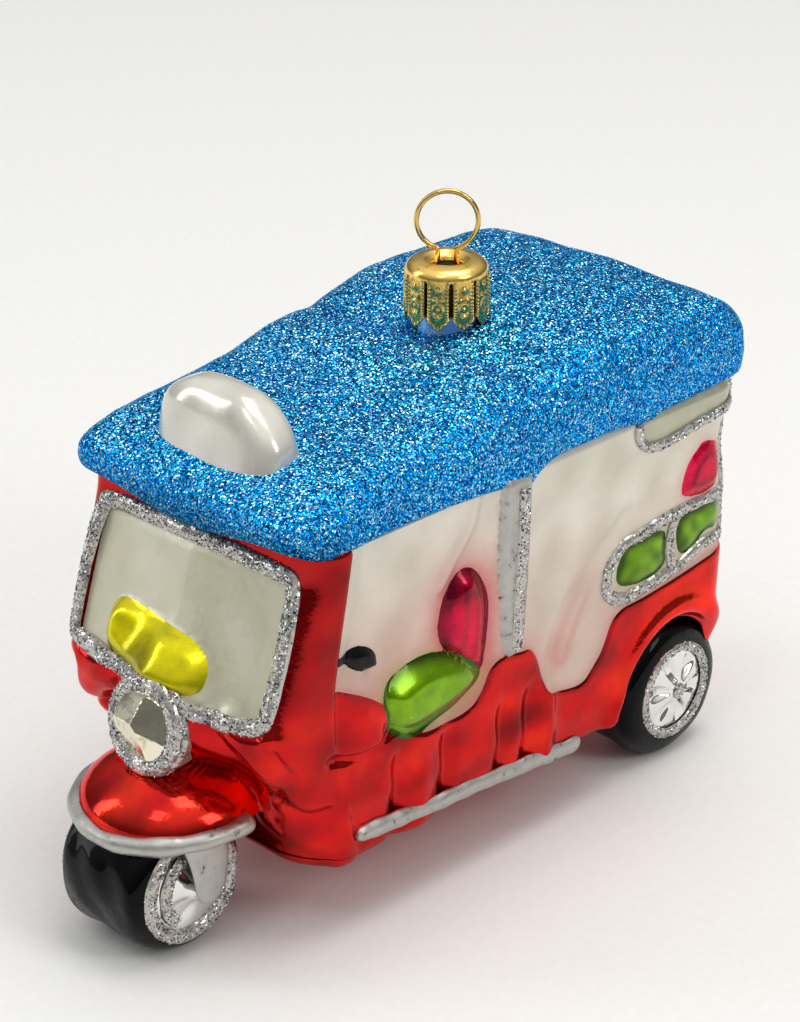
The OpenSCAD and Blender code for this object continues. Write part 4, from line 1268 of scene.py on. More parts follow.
# %% Glitter lines on the sides
REAR_Y = REAR_AXLE[1]
tail_s = float(stations(np.array([EAVE_Z]))[0, -1])
BAND_LINE = bowed([(-14.6, 53.5), (-14.8, 50.8), (-13.2, 48.6), (-8.9, 47.8), (-3.8, 48.5),
                   (1.3, 49.1), (6.5, 49.5), (10, 49.7), (20, 49.7), (tail_s - REAR_Y, 49.7)],
                  REAR_Y)
RAIL_TOP = bowed([(-14.6, 22.9), (-18.2, 23.6), (-19.9, 26.6), (-19, 30.6), (-15.7, 32.9),
                  (-11.8, 33.8), (-6.7, 34.4), (-2, 34.7), (3.3, 34.7), (9, 34.6)], REAR_Y)
RAIL_LOW = bowed([(-14.6, 22.9), (-10.6, 23.6), (-4.4, 24.2), (-1.3, 24.8), (2.2, 26.6),
                  (5.4, 26.8), (9.9, 25.9)], REAR_Y)
RAIL_POST = bowed([(-4.6, 34.2), (-5.9, 31), (-5.7, 27.7), (-4.1, 24.4)], REAR_Y)
CORNER_LINE = bowed([(11, 52.5), (10.8, 50.4), (9.5, 47.4), (8, 45), (8, 41.8), (8.7, 37.6),
                     (8.7, 34.6), (8.6, 30.5), (9.6, 26.4)], REAR_Y)
PILLAR_LINE = bowed([(0.7, 52), (1, 42), (0.9, 33), (0.9, 24.4)])

trim_parts, rail_parts, stripe_parts = [], [], []
for side in (1, -1):
    seed = 5 + side
    path, normal = on_skin(BAND_LINE, side)
    trim_parts.append(glitter_line(path, normal, 1.7, 0.6, seed))
    for line, width in [(RAIL_TOP, BEAD_W), (RAIL_LOW, BEAD_W), (RAIL_POST, 1.8),
                        (CORNER_LINE, 1.6)]:
        path, normal = on_skin(line, side)
        seed += 10
        rail_parts.append(glitter_line(path, normal, width, BEAD_H, seed))
    path, normal = on_skin(PILLAR_LINE, side)
    stripe_parts.append(glitter_line(path, normal, 2.1, 0.5, seed + 5))
glitter_piece("window_trim", trim_parts)
glitter_piece("passenger_rails", rail_parts)
glitter_piece("pillar_glitter", stripe_parts)

# %% The windscreen's frame
FRAME_IN = SCREEN_HALF + 1.3
frame_outline = round_off([
    (-FRAME_IN - 1.7, SCREEN_Z + 1.4), (-FRAME_IN - 0.2, SCREEN_Z + 0.1), (-6, SCREEN_Z - 0.7),
    (6, SCREEN_Z - 1.6), (13, SCREEN_Z - 1.4), (FRAME_IN - 1.5, SCREEN_Z - 0.3),
    (FRAME_IN, SCREEN_Z + 1.4), (FRAME_IN + 0.2, SCREEN_Z + 12),
    (FRAME_IN - 0.3, SCREEN_HEAD), (FRAME_IN - 2, SCREEN_HEAD + 1.2),
    (-FRAME_IN + 0.6, SCREEN_HEAD + 1.2), (-FRAME_IN - 1.2, SCREEN_HEAD)], 2)


def on_nose(line, gap=0.35):
    """Carries a drawn (x, z) line onto the nose: the s of each point is found from its x."""
    line = resample(line, gap)
    x, z = line.T
    _, _, nose_r, side_0, _ = corners(z)
    s = np.abs(x) - (wall(side_0, z) - nose_r + nose_r * QUARTER) + side_0
    sign = np.where(x < 0, -1.0, 1.0)
    left, normal, _ = skin(s, z, 1)
    right, _, _ = skin(s, z, -1)
    points = np.where(sign[:, None] > 0, left, right)
    flip = np.stack([sign, np.ones_like(sign), np.ones_like(sign)], axis=1)
    return points * flip, normal * flip


path, normal = on_nose(np.vstack([frame_outline, frame_outline[:1]]))
glitter_piece("windscreen_frame", [
    glitter_line(path[:-1], normal[:-1], 2.7, 1.0, 31, loop=True, size=0.45)])

# %% [markdown]
# ## Sill pipes
# A silver-painted pipe runs along the foot of each side. It is the same kind of bead, larger
# and without flakes.

# %% Sill pipes
SILL = bowed([(-31.8, 5.2), (-26, 4.6), (-16, 3.6), (-6, 2.9), (2, 2.0), (10, 1.6),
              (14, 1.2), (18, 1.0)])
for side, name in [(1, "sill_left"), (-1, "sill_right")]:
    path, normal = on_skin(SILL, side, gap=0.5)
    run = np.pad(path[:, 0], 14, "edge")
    path[:, 0] = np.convolve(run, np.ones(29) / 29, "valid")
    taper = np.linspace(1, 0.55, len(path))[:, None]
    p, t = bead(path, normal * taper, 2.9, 1.25, seed=8, corners_n=20)
    piece(name, p, t, silver_satin, [name], paint=SILVER)
    print(name, "is", round(float(np.ptp(path[:, 1])), 1), "mm long")


# %% [markdown]
# ## Turned shapes
# Wheels, hubs, the lamp and the cap are all turned: a profile of (radius, length) pairs goes
# round an axis. One function does that, with an optional change of radius and height with the
# angle, which gives petals, ribs and the unevenness of blown glass.

# %% Turning
def turned_shape(profile, steps, radius_change=None, height_change=None):
    """Points at (r cos a, r sin a, h) for each (r, h) of the profile and each angle a. The
    change functions get r, h and a and return what to add."""
    r, h = np.array(profile, float).T
    a = np.linspace(0, 2 * np.pi, steps, endpoint=False)
    r, a = np.meshgrid(r, a, indexing="ij")
    h = np.broadcast_to(h[:, None], r.shape)
    dr = radius_change(r, h, a) if radius_change else 0
    dh = height_change(r, h, a) if height_change else 0
    r, h = r + dr, h + dh
    points = np.stack([r * np.cos(a), r * np.sin(a), h], axis=-1).reshape(-1, 3)
    triangles = grid_triangles(len(profile), steps)
    return welded(points, triangles)[:2]


def fine_profile(points, gap, rounds=2):
    """A profile with its corners cut round and with points a given gap apart."""
    return resample(round_off(points, rounds, closed=False), gap)


def laid(points, axis, up, origin):
    """Turns a shape whose axis is Z so that it runs along another axis, at an origin."""
    axis = np.array(axis, float) / np.linalg.norm(axis)
    side_way = np.cross(up, axis)
    side_way /= np.linalg.norm(side_way)
    third = np.cross(axis, side_way)
    return points @ np.stack([side_way, third, axis]) + np.array(origin, float)


# %% Tyres
TREAD_GAP = 0.16


def tyre_profile(radius, half_width, seat_r, one_sided):
    """From the axle out over the tread and back: a flat tread with soft shoulders, sides that
    swell, and a seat for the hub. A one-sided tyre has no seat on its inner face, and a point
    given twice keeps that face's corner crisp."""
    inner = -half_width
    left = [(0.01, inner), (seat_r, inner), (seat_r, inner), (seat_r + 0.8, inner)]
    if not one_sided:
        left = [(0.01, inner + 1.2), (seat_r - 0.4, inner + 1.2), (seat_r, inner + 0.2),
                (seat_r + 0.8, inner - 0.1)]
    tread = [(radius - 2.2, inner + 0.1), (radius - 0.5, inner + 1.1), (radius, inner + 3),
             (radius, 0), (radius, half_width - 3), (radius - 0.5, half_width - 1.1),
             (radius - 2.2, half_width - 0.1)]
    right = [(seat_r + 0.8, half_width + 0.1), (seat_r, half_width - 0.2),
             (seat_r - 0.4, half_width - 1.2), (0.01, half_width - 1.2)]
    return left + tread + right


def hand_blown(r, h, a):
    """The slight out-of-round of a blown tyre."""
    return 0.16 * np.sin(3 * a + 0.6 * h) * (r > 6) + 0.08 * np.sin(7 * a - h) * (r > 6)


def tyre(name, radius, half_width, seat_r, centre, side=1, one_sided=False):
    """Turns a tyre's profile about X at its axle, with its hub's seat on the given side."""
    section = tyre_profile(radius - TREAD_GAP, half_width, seat_r, one_sided)
    p, t = turned_shape(fine_profile(section, 0.4), 150, hand_blown)
    p = laid(p, (side, 0, 0), (0, 0, 1), centre)
    piece(name, p, t, black_lacquer, [name], paint=BLACK)
    print(name, "radius", round(float(radius), 1), "half width", round(float(half_width), 1))


def half_height(node):
    """Half the height of a CAD node's box: the radius of what is turned about X."""
    low, high = box_mm(node)
    return (high[2] - low[2]) / 2


HUB_R = half_height("front_hub_left")
REAR_HUB_R = half_height("rear_hub_left")
tyre("front_tyre", FRONT_R, FRONT_AXLE[0] + 9, HUB_R, FRONT_AXLE)
rear_half = (box_mm("rear_tyre_left")[1][0] - REAR_INNER) / 2
for side, name in [(1, "rear_tyre_left"), (-1, "rear_tyre_right")]:
    tyre(name, REAR_R, rear_half, REAR_HUB_R, REAR_AXLE * np.array([side, 1, 1]), side, True)

# %% [markdown]
# The hubs are bright silvered glass. Each bulges from its tyre and has soft petals pressed
# into it, so it mirrors the room in small broken pieces. A ring of glitter frames it.

# %% Hubs
def petals(count, depth, inner, outer):
    """Petals pressed into a disc: a wave round the axis, strongest between two radii."""
    def change(r, h, a):
        share = np.clip((r - inner) / (outer - inner), 0, 1)
        body = np.sin(np.pi * share) * (h > 0.2)
        return -depth * body * np.clip(0.5 + 0.9 * np.cos(count * a), 0, 1) ** 1.5
    return change


def hub(radius, bulge, count, depth, centre_h):
    """A domed disc with a flat foot: its height falls off as the square of the radius, with a
    small boss in the middle."""
    r = np.linspace(0.01, radius - 0.3, 34)
    h = bulge * (1 - (r / radius) ** 2) ** 0.6 + centre_h * ridge(r, 1.5)
    profile = [(0.01, -0.5), (radius, -0.5), (radius, 0.1)]
    profile += list(zip(r[::-1], h[::-1] + 0.15))
    return turned_shape(profile, 120, None, petals(count, depth, 1.6, radius - 0.6))


front_face = box_mm("front_tyre")[1][0]
rear_face = box_mm("rear_tyre_left")[1][0]
HUBS = [("front_hub", HUB_R, 2.2, 3, 0.9, 0.3, front_face - 0.9, FRONT_AXLE),
        ("rear_hub", REAR_HUB_R, 1.1, 6, 0.5, 0.2, rear_face - 0.8, REAR_AXLE)]
for family, radius, bulge, count, boss, tip, face_x, axle in HUBS:
    for side, hand in [(1, "_left"), (-1, "_right")]:
        p, t = hub(radius + 0.3, bulge, count, 0.9, boss)
        p = laid(p, (side, 0, 0), (0, tip, 1), (side * face_x, *axle[1:]))
        piece(family + hand, p, t, mirror_silver, [family + hand])
    print(family, "has", count, "petals")


# %% Glitter round the hubs
def ring_path(centre, radius, axis_x, steps=170):
    """A circle about the X axis, with the outward direction of the wheel's face."""
    a = np.linspace(0, 2 * np.pi, steps, endpoint=False) * axis_x
    points = np.stack([np.full(steps, centre[0]), centre[1] + radius * np.cos(a),
                       centre[2] + radius * np.sin(a)], axis=1)
    return points, np.broadcast_to(np.array([float(axis_x), 0, 0]), points.shape)


front_rings, rear_rings = [], []
for side in (1, -1):
    centre = (side * (front_face - 0.1), *FRONT_AXLE[1:])
    front_rings.append(glitter_line(*ring_path(centre, HUB_R + 0.8, side), 2.3, 0.7,
                                    50 + side, loop=True))
    # a second stroke on the hub's front half, where the maker's hand went over it again
    a = np.linspace(1.9, 4.0, 60)
    stroke = np.stack([np.full(60, side * (front_face + 0.1) + side * 0.5),
                       FRONT_AXLE[1] + 5.6 * np.cos(a),
                       FRONT_AXLE[2] + 5.8 * np.sin(a)], axis=1)[::side]
    facing = np.broadcast_to(np.array([float(side), 0, 0]), stroke.shape)
    front_rings.append(glitter_line(stroke, facing, 2.2, 0.6, 60 + side))
    centre = (side * (rear_face - 0.1), *REAR_AXLE[1:])
    rear_rings.append(glitter_line(*ring_path(centre, REAR_HUB_R + 0.7, side), 1.7, 0.6,
                                   70 + side, loop=True))
    boss = (side * (rear_face + 0.6), *REAR_AXLE[1:])
    rear_rings.append(glitter_line(*ring_path(boss, 0.8, side, steps=24), 1.2, 0.5,
                                   80 + side, loop=True))
glitter_piece("front_hub_rings", front_rings)
glitter_piece("rear_hub_rings", rear_rings)

# %% [markdown]
# ## Fender trim and fork
# A silver-painted tube runs round the fender's rim and ends in soft round tips. The fork's
# blades hang from the fender as flat leaves over the hubs.

# %% Fender trim
def capped_tube(rings, tips):
    """A tube's mesh from its rings of points, one ring after another, with a fan of triangles
    from a tip point over each open end."""
    rows, corners_n = rings.shape[:2]
    n, k = rows * corners_n, np.arange(corners_n)
    after = (k + 1) % corners_n
    start = np.stack([np.full(corners_n, n), k, after], axis=1)
    end = np.stack([np.full(corners_n, n + 1), n - corners_n + after, n - corners_n + k], axis=1)
    triangles = np.vstack([grid_triangles(rows, corners_n)[:, ::-1], start, end])
    return np.vstack([rings.reshape(-1, 3), tips]), triangles


TRIM_R, TRIM_CORNERS = 1.5, 24
angle = np.radians(np.linspace(-195, 15, 190))
sag = -1.0 * ridge(np.degrees(angle) + 90, 40)
path = np.stack([RIM_R * np.cos(angle), RIM_Y + RIM_R * np.sin(angle), RIM_Z + sag], axis=1)
outward = np.stack([np.cos(angle), np.sin(angle), np.zeros_like(angle)], axis=1)
size = 1 + 0.07 * np.sin(angle * 5) + 0.05 * np.sin(angle * 13)
size *= np.sqrt(np.clip(np.minimum(angle - angle[0], angle[-1] - angle) / 0.09 + 0.02, 0, 1))
turn = np.linspace(0, 2 * np.pi, TRIM_CORNERS, endpoint=False)
ring = (outward[:, None] * np.cos(turn)[None, :, None] * TRIM_R
        + np.array([0, 0, 1.0]) * np.sin(turn)[None, :, None] * (TRIM_R - 0.05))
p, t = capped_tube(path[:, None] + ring * size[:, None, None], path[[0, -1]])
piece("fender_trim", p, t, silver_satin, ["fender_trim"], paint=SILVER)
print("fender trim:", len(t), "triangles")

# %% Fork blades
BLADE = [(0, 0), (0.06, 1.7), (0.2, 2.9), (0.55, 3.7), (0.8, 4.3), (1, 3.9)]
BLADE_ROWS, BLADE_CORNERS, BLADE_HALF = 40, 20, 0.9


def fork_blade(side, node):
    """A leaf: its half width follows a drawn line from the rounded foot to the broad top, and
    across the leaf it is a thin lens, thickest along the middle."""
    low, high = box_mm(node)
    foot, head = low[2], RIM_Z + 0.6
    t = np.linspace(0, 1, BLADE_ROWS)
    half = soft_line(t, BLADE, 0.03)
    half[0] = 0.02
    turn = np.linspace(0, 2 * np.pi, BLADE_CORNERS, endpoint=False)
    middle_x = (low[0] + high[0]) / 2 + side * 0.2
    lean = side * 0.9 * (1 - t) - side * 0.5 * t
    thick = np.sin(turn)[None] * BLADE_HALF * np.sqrt(half / half.max())[:, None]
    x = middle_x + lean[:, None] + thick
    y = FRONT_AXLE[1] + 0.4 + 0.9 * np.sin(t * 3)[:, None] + np.cos(turn)[None] * half[:, None]
    z = np.broadcast_to((foot + (head - foot) * t)[:, None], x.shape)
    rings = np.stack([x, y, z], axis=-1)
    return capped_tube(rings, np.array([rings[0].mean(0), rings[-1].mean(0)]))


for side, name in [(1, "fork_left"), (-1, "fork_right")]:
    p, t = fork_blade(side, name)
    piece(name, p, t, silver_satin, [name], paint=SILVER)
    print(name, "foot at", round(float(p[:, 2].min()), 1), "mm")

# %% [markdown]
# ## Headlamp
# A faceted silver lens sits in a thick ring of glitter. The lens is a dome cut by a few flat
# planes: at every point the lowest of the planes and the dome is taken.

# %% Headlamp
LAMP_AXIS = np.array([0, -math.cos(math.radians(12)), math.sin(math.radians(12))])
LAMP_FACE = np.array([0, box_mm("headlamp_housing")[0][1] + 1.9, LAMP_Z])
FACETS = [(0.36, 125, 3.1), (0.42, 20, 2.8), (0.46, 250, 2.8), (0.42, 320, 3.0)]
LENS_R = 5.3


def facet_cut(r, h, a):
    """Lowers the dome to the lowest of the sloping planes: each plane falls towards its own
    direction from a given height."""
    plane = np.full(np.shape(r), 9.0)
    for slope, towards, height in FACETS:
        plane = np.minimum(plane, height - slope * r * np.cos(a - math.radians(towards)))
    return np.where(h > 0.15, np.minimum(0, plane - h), 0)


r = np.linspace(0.01, LENS_R, 40)
dome_h = 3.8 * (1 - (r / (LENS_R + 0.1)) ** 3.2) ** 0.5
profile = [(0.01, -1.2), (LENS_R, -1.2)] + list(zip(r[::-1], dome_h[::-1]))
p, t = turned_shape(profile, 140, None, facet_cut)
p = laid(p, LAMP_AXIS, (0, 0, 1), LAMP_FACE)
piece("headlamp_lens", p, t, lens_silver, ["headlamp_lens"], sharp=9)
print("lens:", len(FACETS), "facets on a dome of radius", LENS_R)

# %% The lamp's ring
RING_POINTS = 150
housing = fine_profile([(4.0, 0.2), (4.9, 0.3), (5.5, 0.6), (6.4, 0.7), (7.2, 0.0), (7.4, -1.2),
                        (7.2, -3), (6.8, -6), (4.0, -6), (4.0, 0.2)], 0.4)
p, t = turned_shape(housing, 120, lambda r, h, a: 0.12 * np.sin(5 * a) + 0.08 * np.sin(11 * a + h))
p = laid(p, LAMP_AXIS, (0, 0, 1), LAMP_FACE)
parts = [(p, t[:, ::-1], BEAD_GREY)]
facing = np.broadcast_to(LAMP_AXIS, (RING_POINTS, 3))
for radius, width, height, lift, seed in [(6.3, 2.6, 0.9, 0.2, 90), (7.1, 1.5, 0.7, -1.0, 91)]:
    a = np.linspace(0, 2 * np.pi, RING_POINTS, endpoint=False)
    circle = np.stack([radius * np.cos(a), radius * np.sin(a), np.full(RING_POINTS, lift)], axis=1)
    circle = laid(circle, LAMP_AXIS, (0, 0, 1), LAMP_FACE)
    parts.append(glitter_line(circle, facing, width, height, seed, loop=True, size=0.44))
glitter_piece("headlamp_housing", parts)

# %% [markdown]
# ## The roof
# The roof is a thick cushion of glass with a rolled lower edge. Its outline from above is a
# rounded box that narrows to the front. At each point of the outline one profile is swept:
# under the lip, round it, up the side, over the shoulder and in to the middle line.

# %% The roof
roof_low, roof_high = box_mm("roof_shell")
ROOF_FRONT, ROOF_BACK, ROOF_HALF = roof_low[1] - 1.4, roof_high[1], roof_high[0]
ROOF_R, LIP_R, EDGE_ROUND = 6.0, 1.3, 5.4
UNDER_INSET = 3.2
EAVE = [(-43.5, 2.2), (-40.5, 1.2), (-37, 0.6), (-33.8, 0.7), (-26.6, 1.2), (-19.5, 1.3),
        (-7.8, 0.7), (-2.5, 0.2), (-0.3, -0.8), (2.4, -1.7), (3.7, -0.1), (6, 1.2),
        (9.2, 2.0), (22.5, 2.1), (29.1, 1), (31.8, 1.9), (41.2, 2.2), (53.2, 3)]
SHOULDER = [(-45, 6.2), (-40.5, 7.0), (-35.5, 9), (-29.5, 9.7), (-19.5, 10.1), (-10.5, 10.7),
            (-6.5, 11.8), (-2.1, 13), (2.5, 13.3), (6.9, 12.8), (11.5, 14), (16.1, 15.1),
            (20.5, 16), (25.5, 15.8), (44.5, 14.8), (48, 14.4), (56, 13.2)]


def roof_half(y):
    """Half width of the roof at a given y: it narrows steadily towards the front."""
    return ROOF_HALF - 0.038 * (ROOF_BACK - 9 - y)


def roof_ring(count_front=46, count_side=130, count_back=46):
    """The roof's outline from above, and the outward direction at each point, from the nose's
    middle up the left side and back along the right."""
    y0, y1 = ROOF_FRONT + ROOF_R, ROOF_BACK - ROOF_R
    turn = np.radians(np.linspace(-90, 0, 17)[1:-1])
    x0, x1 = roof_half(y0) - ROOF_R, roof_half(y1) - ROOF_R
    front = np.stack([np.linspace(0, x0, count_front), np.full(count_front, ROOF_FRONT)], axis=1)
    corner_0 = np.stack([x0 + ROOF_R * np.cos(turn), y0 + ROOF_R * np.sin(turn)], axis=1)
    side_y = np.linspace(y0, y1, count_side)
    flank = np.stack([roof_half(side_y), side_y], axis=1)
    corner_1 = np.stack([x1 + ROOF_R * np.cos(-turn), y1 + ROOF_R * np.sin(-turn)], axis=1)[::-1]
    rear = np.stack([np.linspace(x1, 0, count_back), np.full(count_back, ROOF_BACK)], axis=1)
    half = np.vstack([front, corner_0, flank, corner_1, rear])
    other = half[-2:0:-1] * np.array([-1, 1])
    ring = np.vstack([half, other])
    along = np.roll(ring, -1, axis=0) - np.roll(ring, 1, axis=0)
    outward_dir = np.stack([along[:, 1], -along[:, 0]], axis=1)
    outward_dir /= np.linalg.norm(outward_dir, axis=1, keepdims=True)
    return ring, outward_dir


def roof_top(x, y, inset, drop):
    """Height of the roof's top: the shoulder's line along y, a slight crown across, and an edge
    that rounds down by a given drop near the outline."""
    z = EAVE_Z + soft_line(y - PILLAR_Y, SHOULDER, 1.5) + 1.3 * (1 - np.clip(x / 26, -1, 1) ** 2)
    edge = np.clip(inset / EDGE_ROUND, 0, 1)
    return z - drop * (1 - np.sqrt(np.maximum(1 - (1 - edge) ** 2, 0)))


ring, outward_dir = roof_ring()
count = len(ring)
print("roof outline:", count, "points, half width", round(float(roof_half(PILLAR_Y)), 1))


# %% The roof's levels
def level(xy, z):
    """One level of the roof: a height for each point of a ring."""
    return np.column_stack([xy, z])


eave = EAVE_Z + soft_line(ring[:, 1] - PILLAR_Y, EAVE, 1.0)
front_lip = np.clip((ROOF_FRONT + 5 - ring[:, 1]) / 5, 0, 1)
eave -= front_lip * 1.8 * (1 - smooth(np.abs(ring[:, 0]) / 20))
spine_y = np.clip(ring[:, 1], ROOF_FRONT + 22, ROOF_BACK - 24)
spine_xy = np.stack([np.zeros(count), spine_y], axis=1)
base = ring - outward_dir * UNDER_INSET

rows = [level(base + (spine_xy - base) * share, np.maximum(eave + 1.5, EAVE_Z + 1))
        for share in (1.0, 0.75, 0.5, 0.25)]
rows.append(level(base, eave + 1.4))
for a in np.radians([250, 270, 290, 310, 330, 350]):
    inset = LIP_R * (1 - np.cos(a))
    rows.append(level(ring - outward_dir * inset, eave + LIP_R * (1 + np.sin(a))))
drop = roof_top(ring[:, 0], ring[:, 1], 0, 0) - eave - 2 * LIP_R - 0.4
drop = np.clip(drop, 1.2, EDGE_ROUND)
edge_top = roof_top(ring[:, 0], ring[:, 1], 0, drop)
lower = rows[-1][:, 2]
for share in np.linspace(0, 1, 9)[1:]:
    swell = 0.5 * np.sin(np.pi * share) * np.clip((edge_top - lower) / 8, 0.2, 1)
    xy = ring + outward_dir * (swell[:, None] - 0.02)
    rows.append(level(xy, lower + (edge_top - lower) * share))
for a in np.radians(np.arange(10, 91, 10)):
    inset = EDGE_ROUND * (1 - np.cos(a))
    xy = ring - outward_dir * inset
    rows.append(level(xy, roof_top(xy[:, 0], xy[:, 1], inset, drop)))
last = rows[-1][:, :2]
for share in np.linspace(0, 1, 30)[1:]:
    xy = last + (spine_xy - last) * share
    rows.append(level(xy, roof_top(xy[:, 0], xy[:, 1], EDGE_ROUND, drop)))
print("roof levels:", len(rows))

# %% [markdown]
# The blown roof is not quite even, so soft dents move it along its own normals. It is then
# opened for the neck that comes up through it, and gets its glass thickness. Under the rolled
# edge at the front the colour is darker: painted shade.

# %% The roof's mesh
NECK_OPENING = 4.2
roof_points, roof_triangles, _ = welded(np.array(rows).reshape(-1, 3),
                                        grid_triangles(len(rows), count))
roof_normals = normals_of(roof_points, roof_triangles)
dent = 0.30 * lumps(roof_points, 17, 21) + 0.10 * lumps(roof_points, 6, 22)
roof_points = roof_points + roof_normals * (dent * (roof_points[:, 2] > EAVE_Z + 2.5))[:, None]
neck_at = middle("neck")
from_neck = np.hypot(roof_points[:, 0] - neck_at[0], roof_points[:, 1] - neck_at[1])
opening = np.where(roof_points[:, 2] > EAVE_Z + 8, from_neck - NECK_OPENING, 20.0)
roof_points, outer_faces, no_paint = cut(roof_points, roof_triangles, opening, roof_points * 0)
roof_points, roof_triangles, _ = closed_shell(roof_points, outer_faces, no_paint)
# Darker under the rolled edge at the front: painted shade. The lumps vary the tone at random.
brim_shade = smooth((EAVE_Z + 7.5 - roof_points[:, 2]) / 6)
brim_shade = brim_shade * smooth((PANEL_Y + 6 - roof_points[:, 1]) / 8)
roof_shade = 1 - 0.5 * brim_shade + 0.18 * lumps(roof_points, 26, 23)
piece("roof_shell", roof_points, roof_triangles, blue_glitter, ["roof_shell"],
      paint=np.clip(roof_shade, 0, 1)[:, None])
print("roof:", len(roof_triangles), "triangles, top at", round(float(roof_points[:, 2].max()), 1))

# %% [markdown]
# The coarse flakes on the roof are a second mesh. Faces are picked at random by their area,
# and each flake lies on its face. There are none under the roof, and a ring round the neck
# is left bare for the cap's wire.

# %% Flakes on the roof
def scatter(points, triangles, count, rng):
    """Random places on a mesh, as many per area everywhere, with the face's direction."""
    a, b, c = (points[triangles[:, i]] for i in range(3))
    face = np.cross(b - a, c - a)
    area = np.linalg.norm(face, axis=1)
    pick = rng.choice(len(triangles), count, p=area / area.sum())
    u, v = rng.uniform(size=(2, count, 1))
    flip = (u + v) > 1
    u, v = np.where(flip, 1 - u, u), np.where(flip, 1 - v, v)
    return a[pick] + (b - a)[pick] * u + (c - a)[pick] * v, face[pick]


FLAKES, FLAKE_SIZE, BARE_RING = 26000, 0.25, 6
rng = np.random.default_rng(77)
places, facing = scatter(roof_points, outer_faces, FLAKES, rng)
from_neck = np.hypot(places[:, 0] - neck_at[0], places[:, 1] - neck_at[1])
outside = (places[:, 2] > EAVE_Z + 1.2) | (np.abs(places[:, 0]) > 24)
visible = outside & (from_neck > BARE_RING)
p, t, c = chips(places[visible], facing[visible], FLAKE_SIZE, rng, BLUE_SHADES, lean=0.6)
piece("roof_flakes", p, t, blue_flakes, [], paint=c, sharp=20)
print("flakes on the roof:", int(visible.sum()))

# %% [markdown]
# ## Roof sign
# A smooth pearl dome with a broad blank face, longer than it is deep. Each level is a
# rounded rectangle that shrinks as it rises.

# %% Roof sign
SIGN_ROWS, SIGN_COLUMNS = 44, 150
SIGN_FORWARD, SIGN_SUNK = 1.4, 2.5
sign_low, sign_high = box_mm("roof_sign")
sign_mid = (sign_low + sign_high) / 2
t_up = np.linspace(0, 1, SIGN_ROWS)
angle = np.linspace(0, 2 * np.pi, SIGN_COLUMNS, endpoint=False)
lift = np.sin(t_up * np.pi / 2) ** 0.8
half_x = (sign_high[0] - sign_low[0]) / 2 * (1 - 0.1 * lift) * (1 - lift ** 9) ** 0.5
half_y = (sign_high[1] - sign_low[1]) / 2 * (1.12 - 0.36 * lift) * (1 - lift ** 8) ** 0.5
power = 2 / 3.4
cos_a, sin_a = np.cos(angle), np.sin(angle)
unit_x = np.sign(cos_a) * np.abs(cos_a) ** power
unit_y = np.sign(sin_a) * np.abs(sin_a) ** power
x = half_x[:, None] * unit_x
y = sign_mid[1] - SIGN_FORWARD + 0.8 * lift[:, None] + half_y[:, None] * unit_y
ends_down = 1 - 0.30 * smooth((x - 3) / 11) - 0.08 * smooth((-x - 5) / 9)
z = sign_low[2] - SIGN_SUNK + (sign_high[2] - sign_low[2] + 2.2) * lift[:, None] * ends_down
sign_points = np.stack([x, y, z], axis=-1).reshape(-1, 3)
sign_triangles = grid_triangles(SIGN_ROWS, SIGN_COLUMNS)
foot = np.array([[0, sign_mid[1] - SIGN_FORWARD, sign_low[2] - SIGN_SUNK]])
k = np.arange(SIGN_COLUMNS)
foot_faces = np.stack([np.full(SIGN_COLUMNS, len(sign_points)), (k + 1) % SIGN_COLUMNS, k], axis=1)
sign_points = np.vstack([sign_points, foot])
sign_triangles = np.vstack([sign_triangles, foot_faces])
sign_points, sign_triangles, _ = welded(sign_points, sign_triangles)
sign_points[:, 1] += 0.25 * lumps(sign_points, 9, 41)
piece("roof_sign", sign_points, sign_triangles, sign_pearl, ["roof_sign"],
      paint=mix(SIGN_WHITE, SIGN_SHADE,
                0.4 + 0.6 * lumps(sign_points, 8, 42)), sharp=80)
print("roof sign:", len(sign_triangles), "triangles")

# %% [markdown]
# ## Neck, cap and loop
# The cap is thin gold-coloured sheet, pressed over the neck: a rounded shoulder round a dimple
# with a hole, and a skirt of petals with beaded ribs between them and small pressed dots. The
# sheet has a thickness, so the profile goes down the outside and back up the inside. What is
# pressed is a change of radius with the height and the angle.

# %% Crown cap
cap_low, cap_high = box_mm("crown_cap")
cap_mid = (cap_low + cap_high) / 2
CAP_R = cap_high[0] - 0.25
CAP_TOP, CAP_FOOT = cap_high[2], cap_low[2]
HOLE_R = 2.2
shoulder = [(HOLE_R, CAP_TOP - 1.6), (HOLE_R + 0.1, CAP_TOP - 0.9), (HOLE_R + 0.7, CAP_TOP - 0.45),
            (3.4, CAP_TOP), (4.4, CAP_TOP - 0.1), (5.4, CAP_TOP - 0.35), (6.2, CAP_TOP - 1.0),
            (CAP_R, CAP_TOP - 2.0), (CAP_R, CAP_TOP - 4)]
skirt_h = np.arange(CAP_TOP - 4.1, CAP_FOOT, -0.14)
skirt_line = np.stack([np.full(len(skirt_h), CAP_R), skirt_h], axis=1)
inside_line = [(CAP_R - 0.35, CAP_FOOT), (CAP_R - 0.4, CAP_TOP - 2.3), (5.6, CAP_TOP - 0.95),
               (4.2, CAP_TOP - 0.55), (HOLE_R + 0.3, CAP_TOP - 1.6), (HOLE_R, CAP_TOP - 1.6)]
profile = np.vstack([fine_profile(shoulder, 0.16), skirt_line, resample(inside_line, 0.4)])
print("cap profile:", len(profile), "points, radius", round(float(CAP_R), 2))


# %% The cap's pressed pattern
PETALS = 10
PETAL_TURN = math.radians(-41.4)
DOTS = [(3.1, 0, 0.36), (4.7, 0.55, 0.3), (4.7, -0.55, 0.3), (6.2, 0, 0.24), (7.4, 0, 0.3)]
BEAD_STEP, EDGE_STEP = 0.62, 0.6


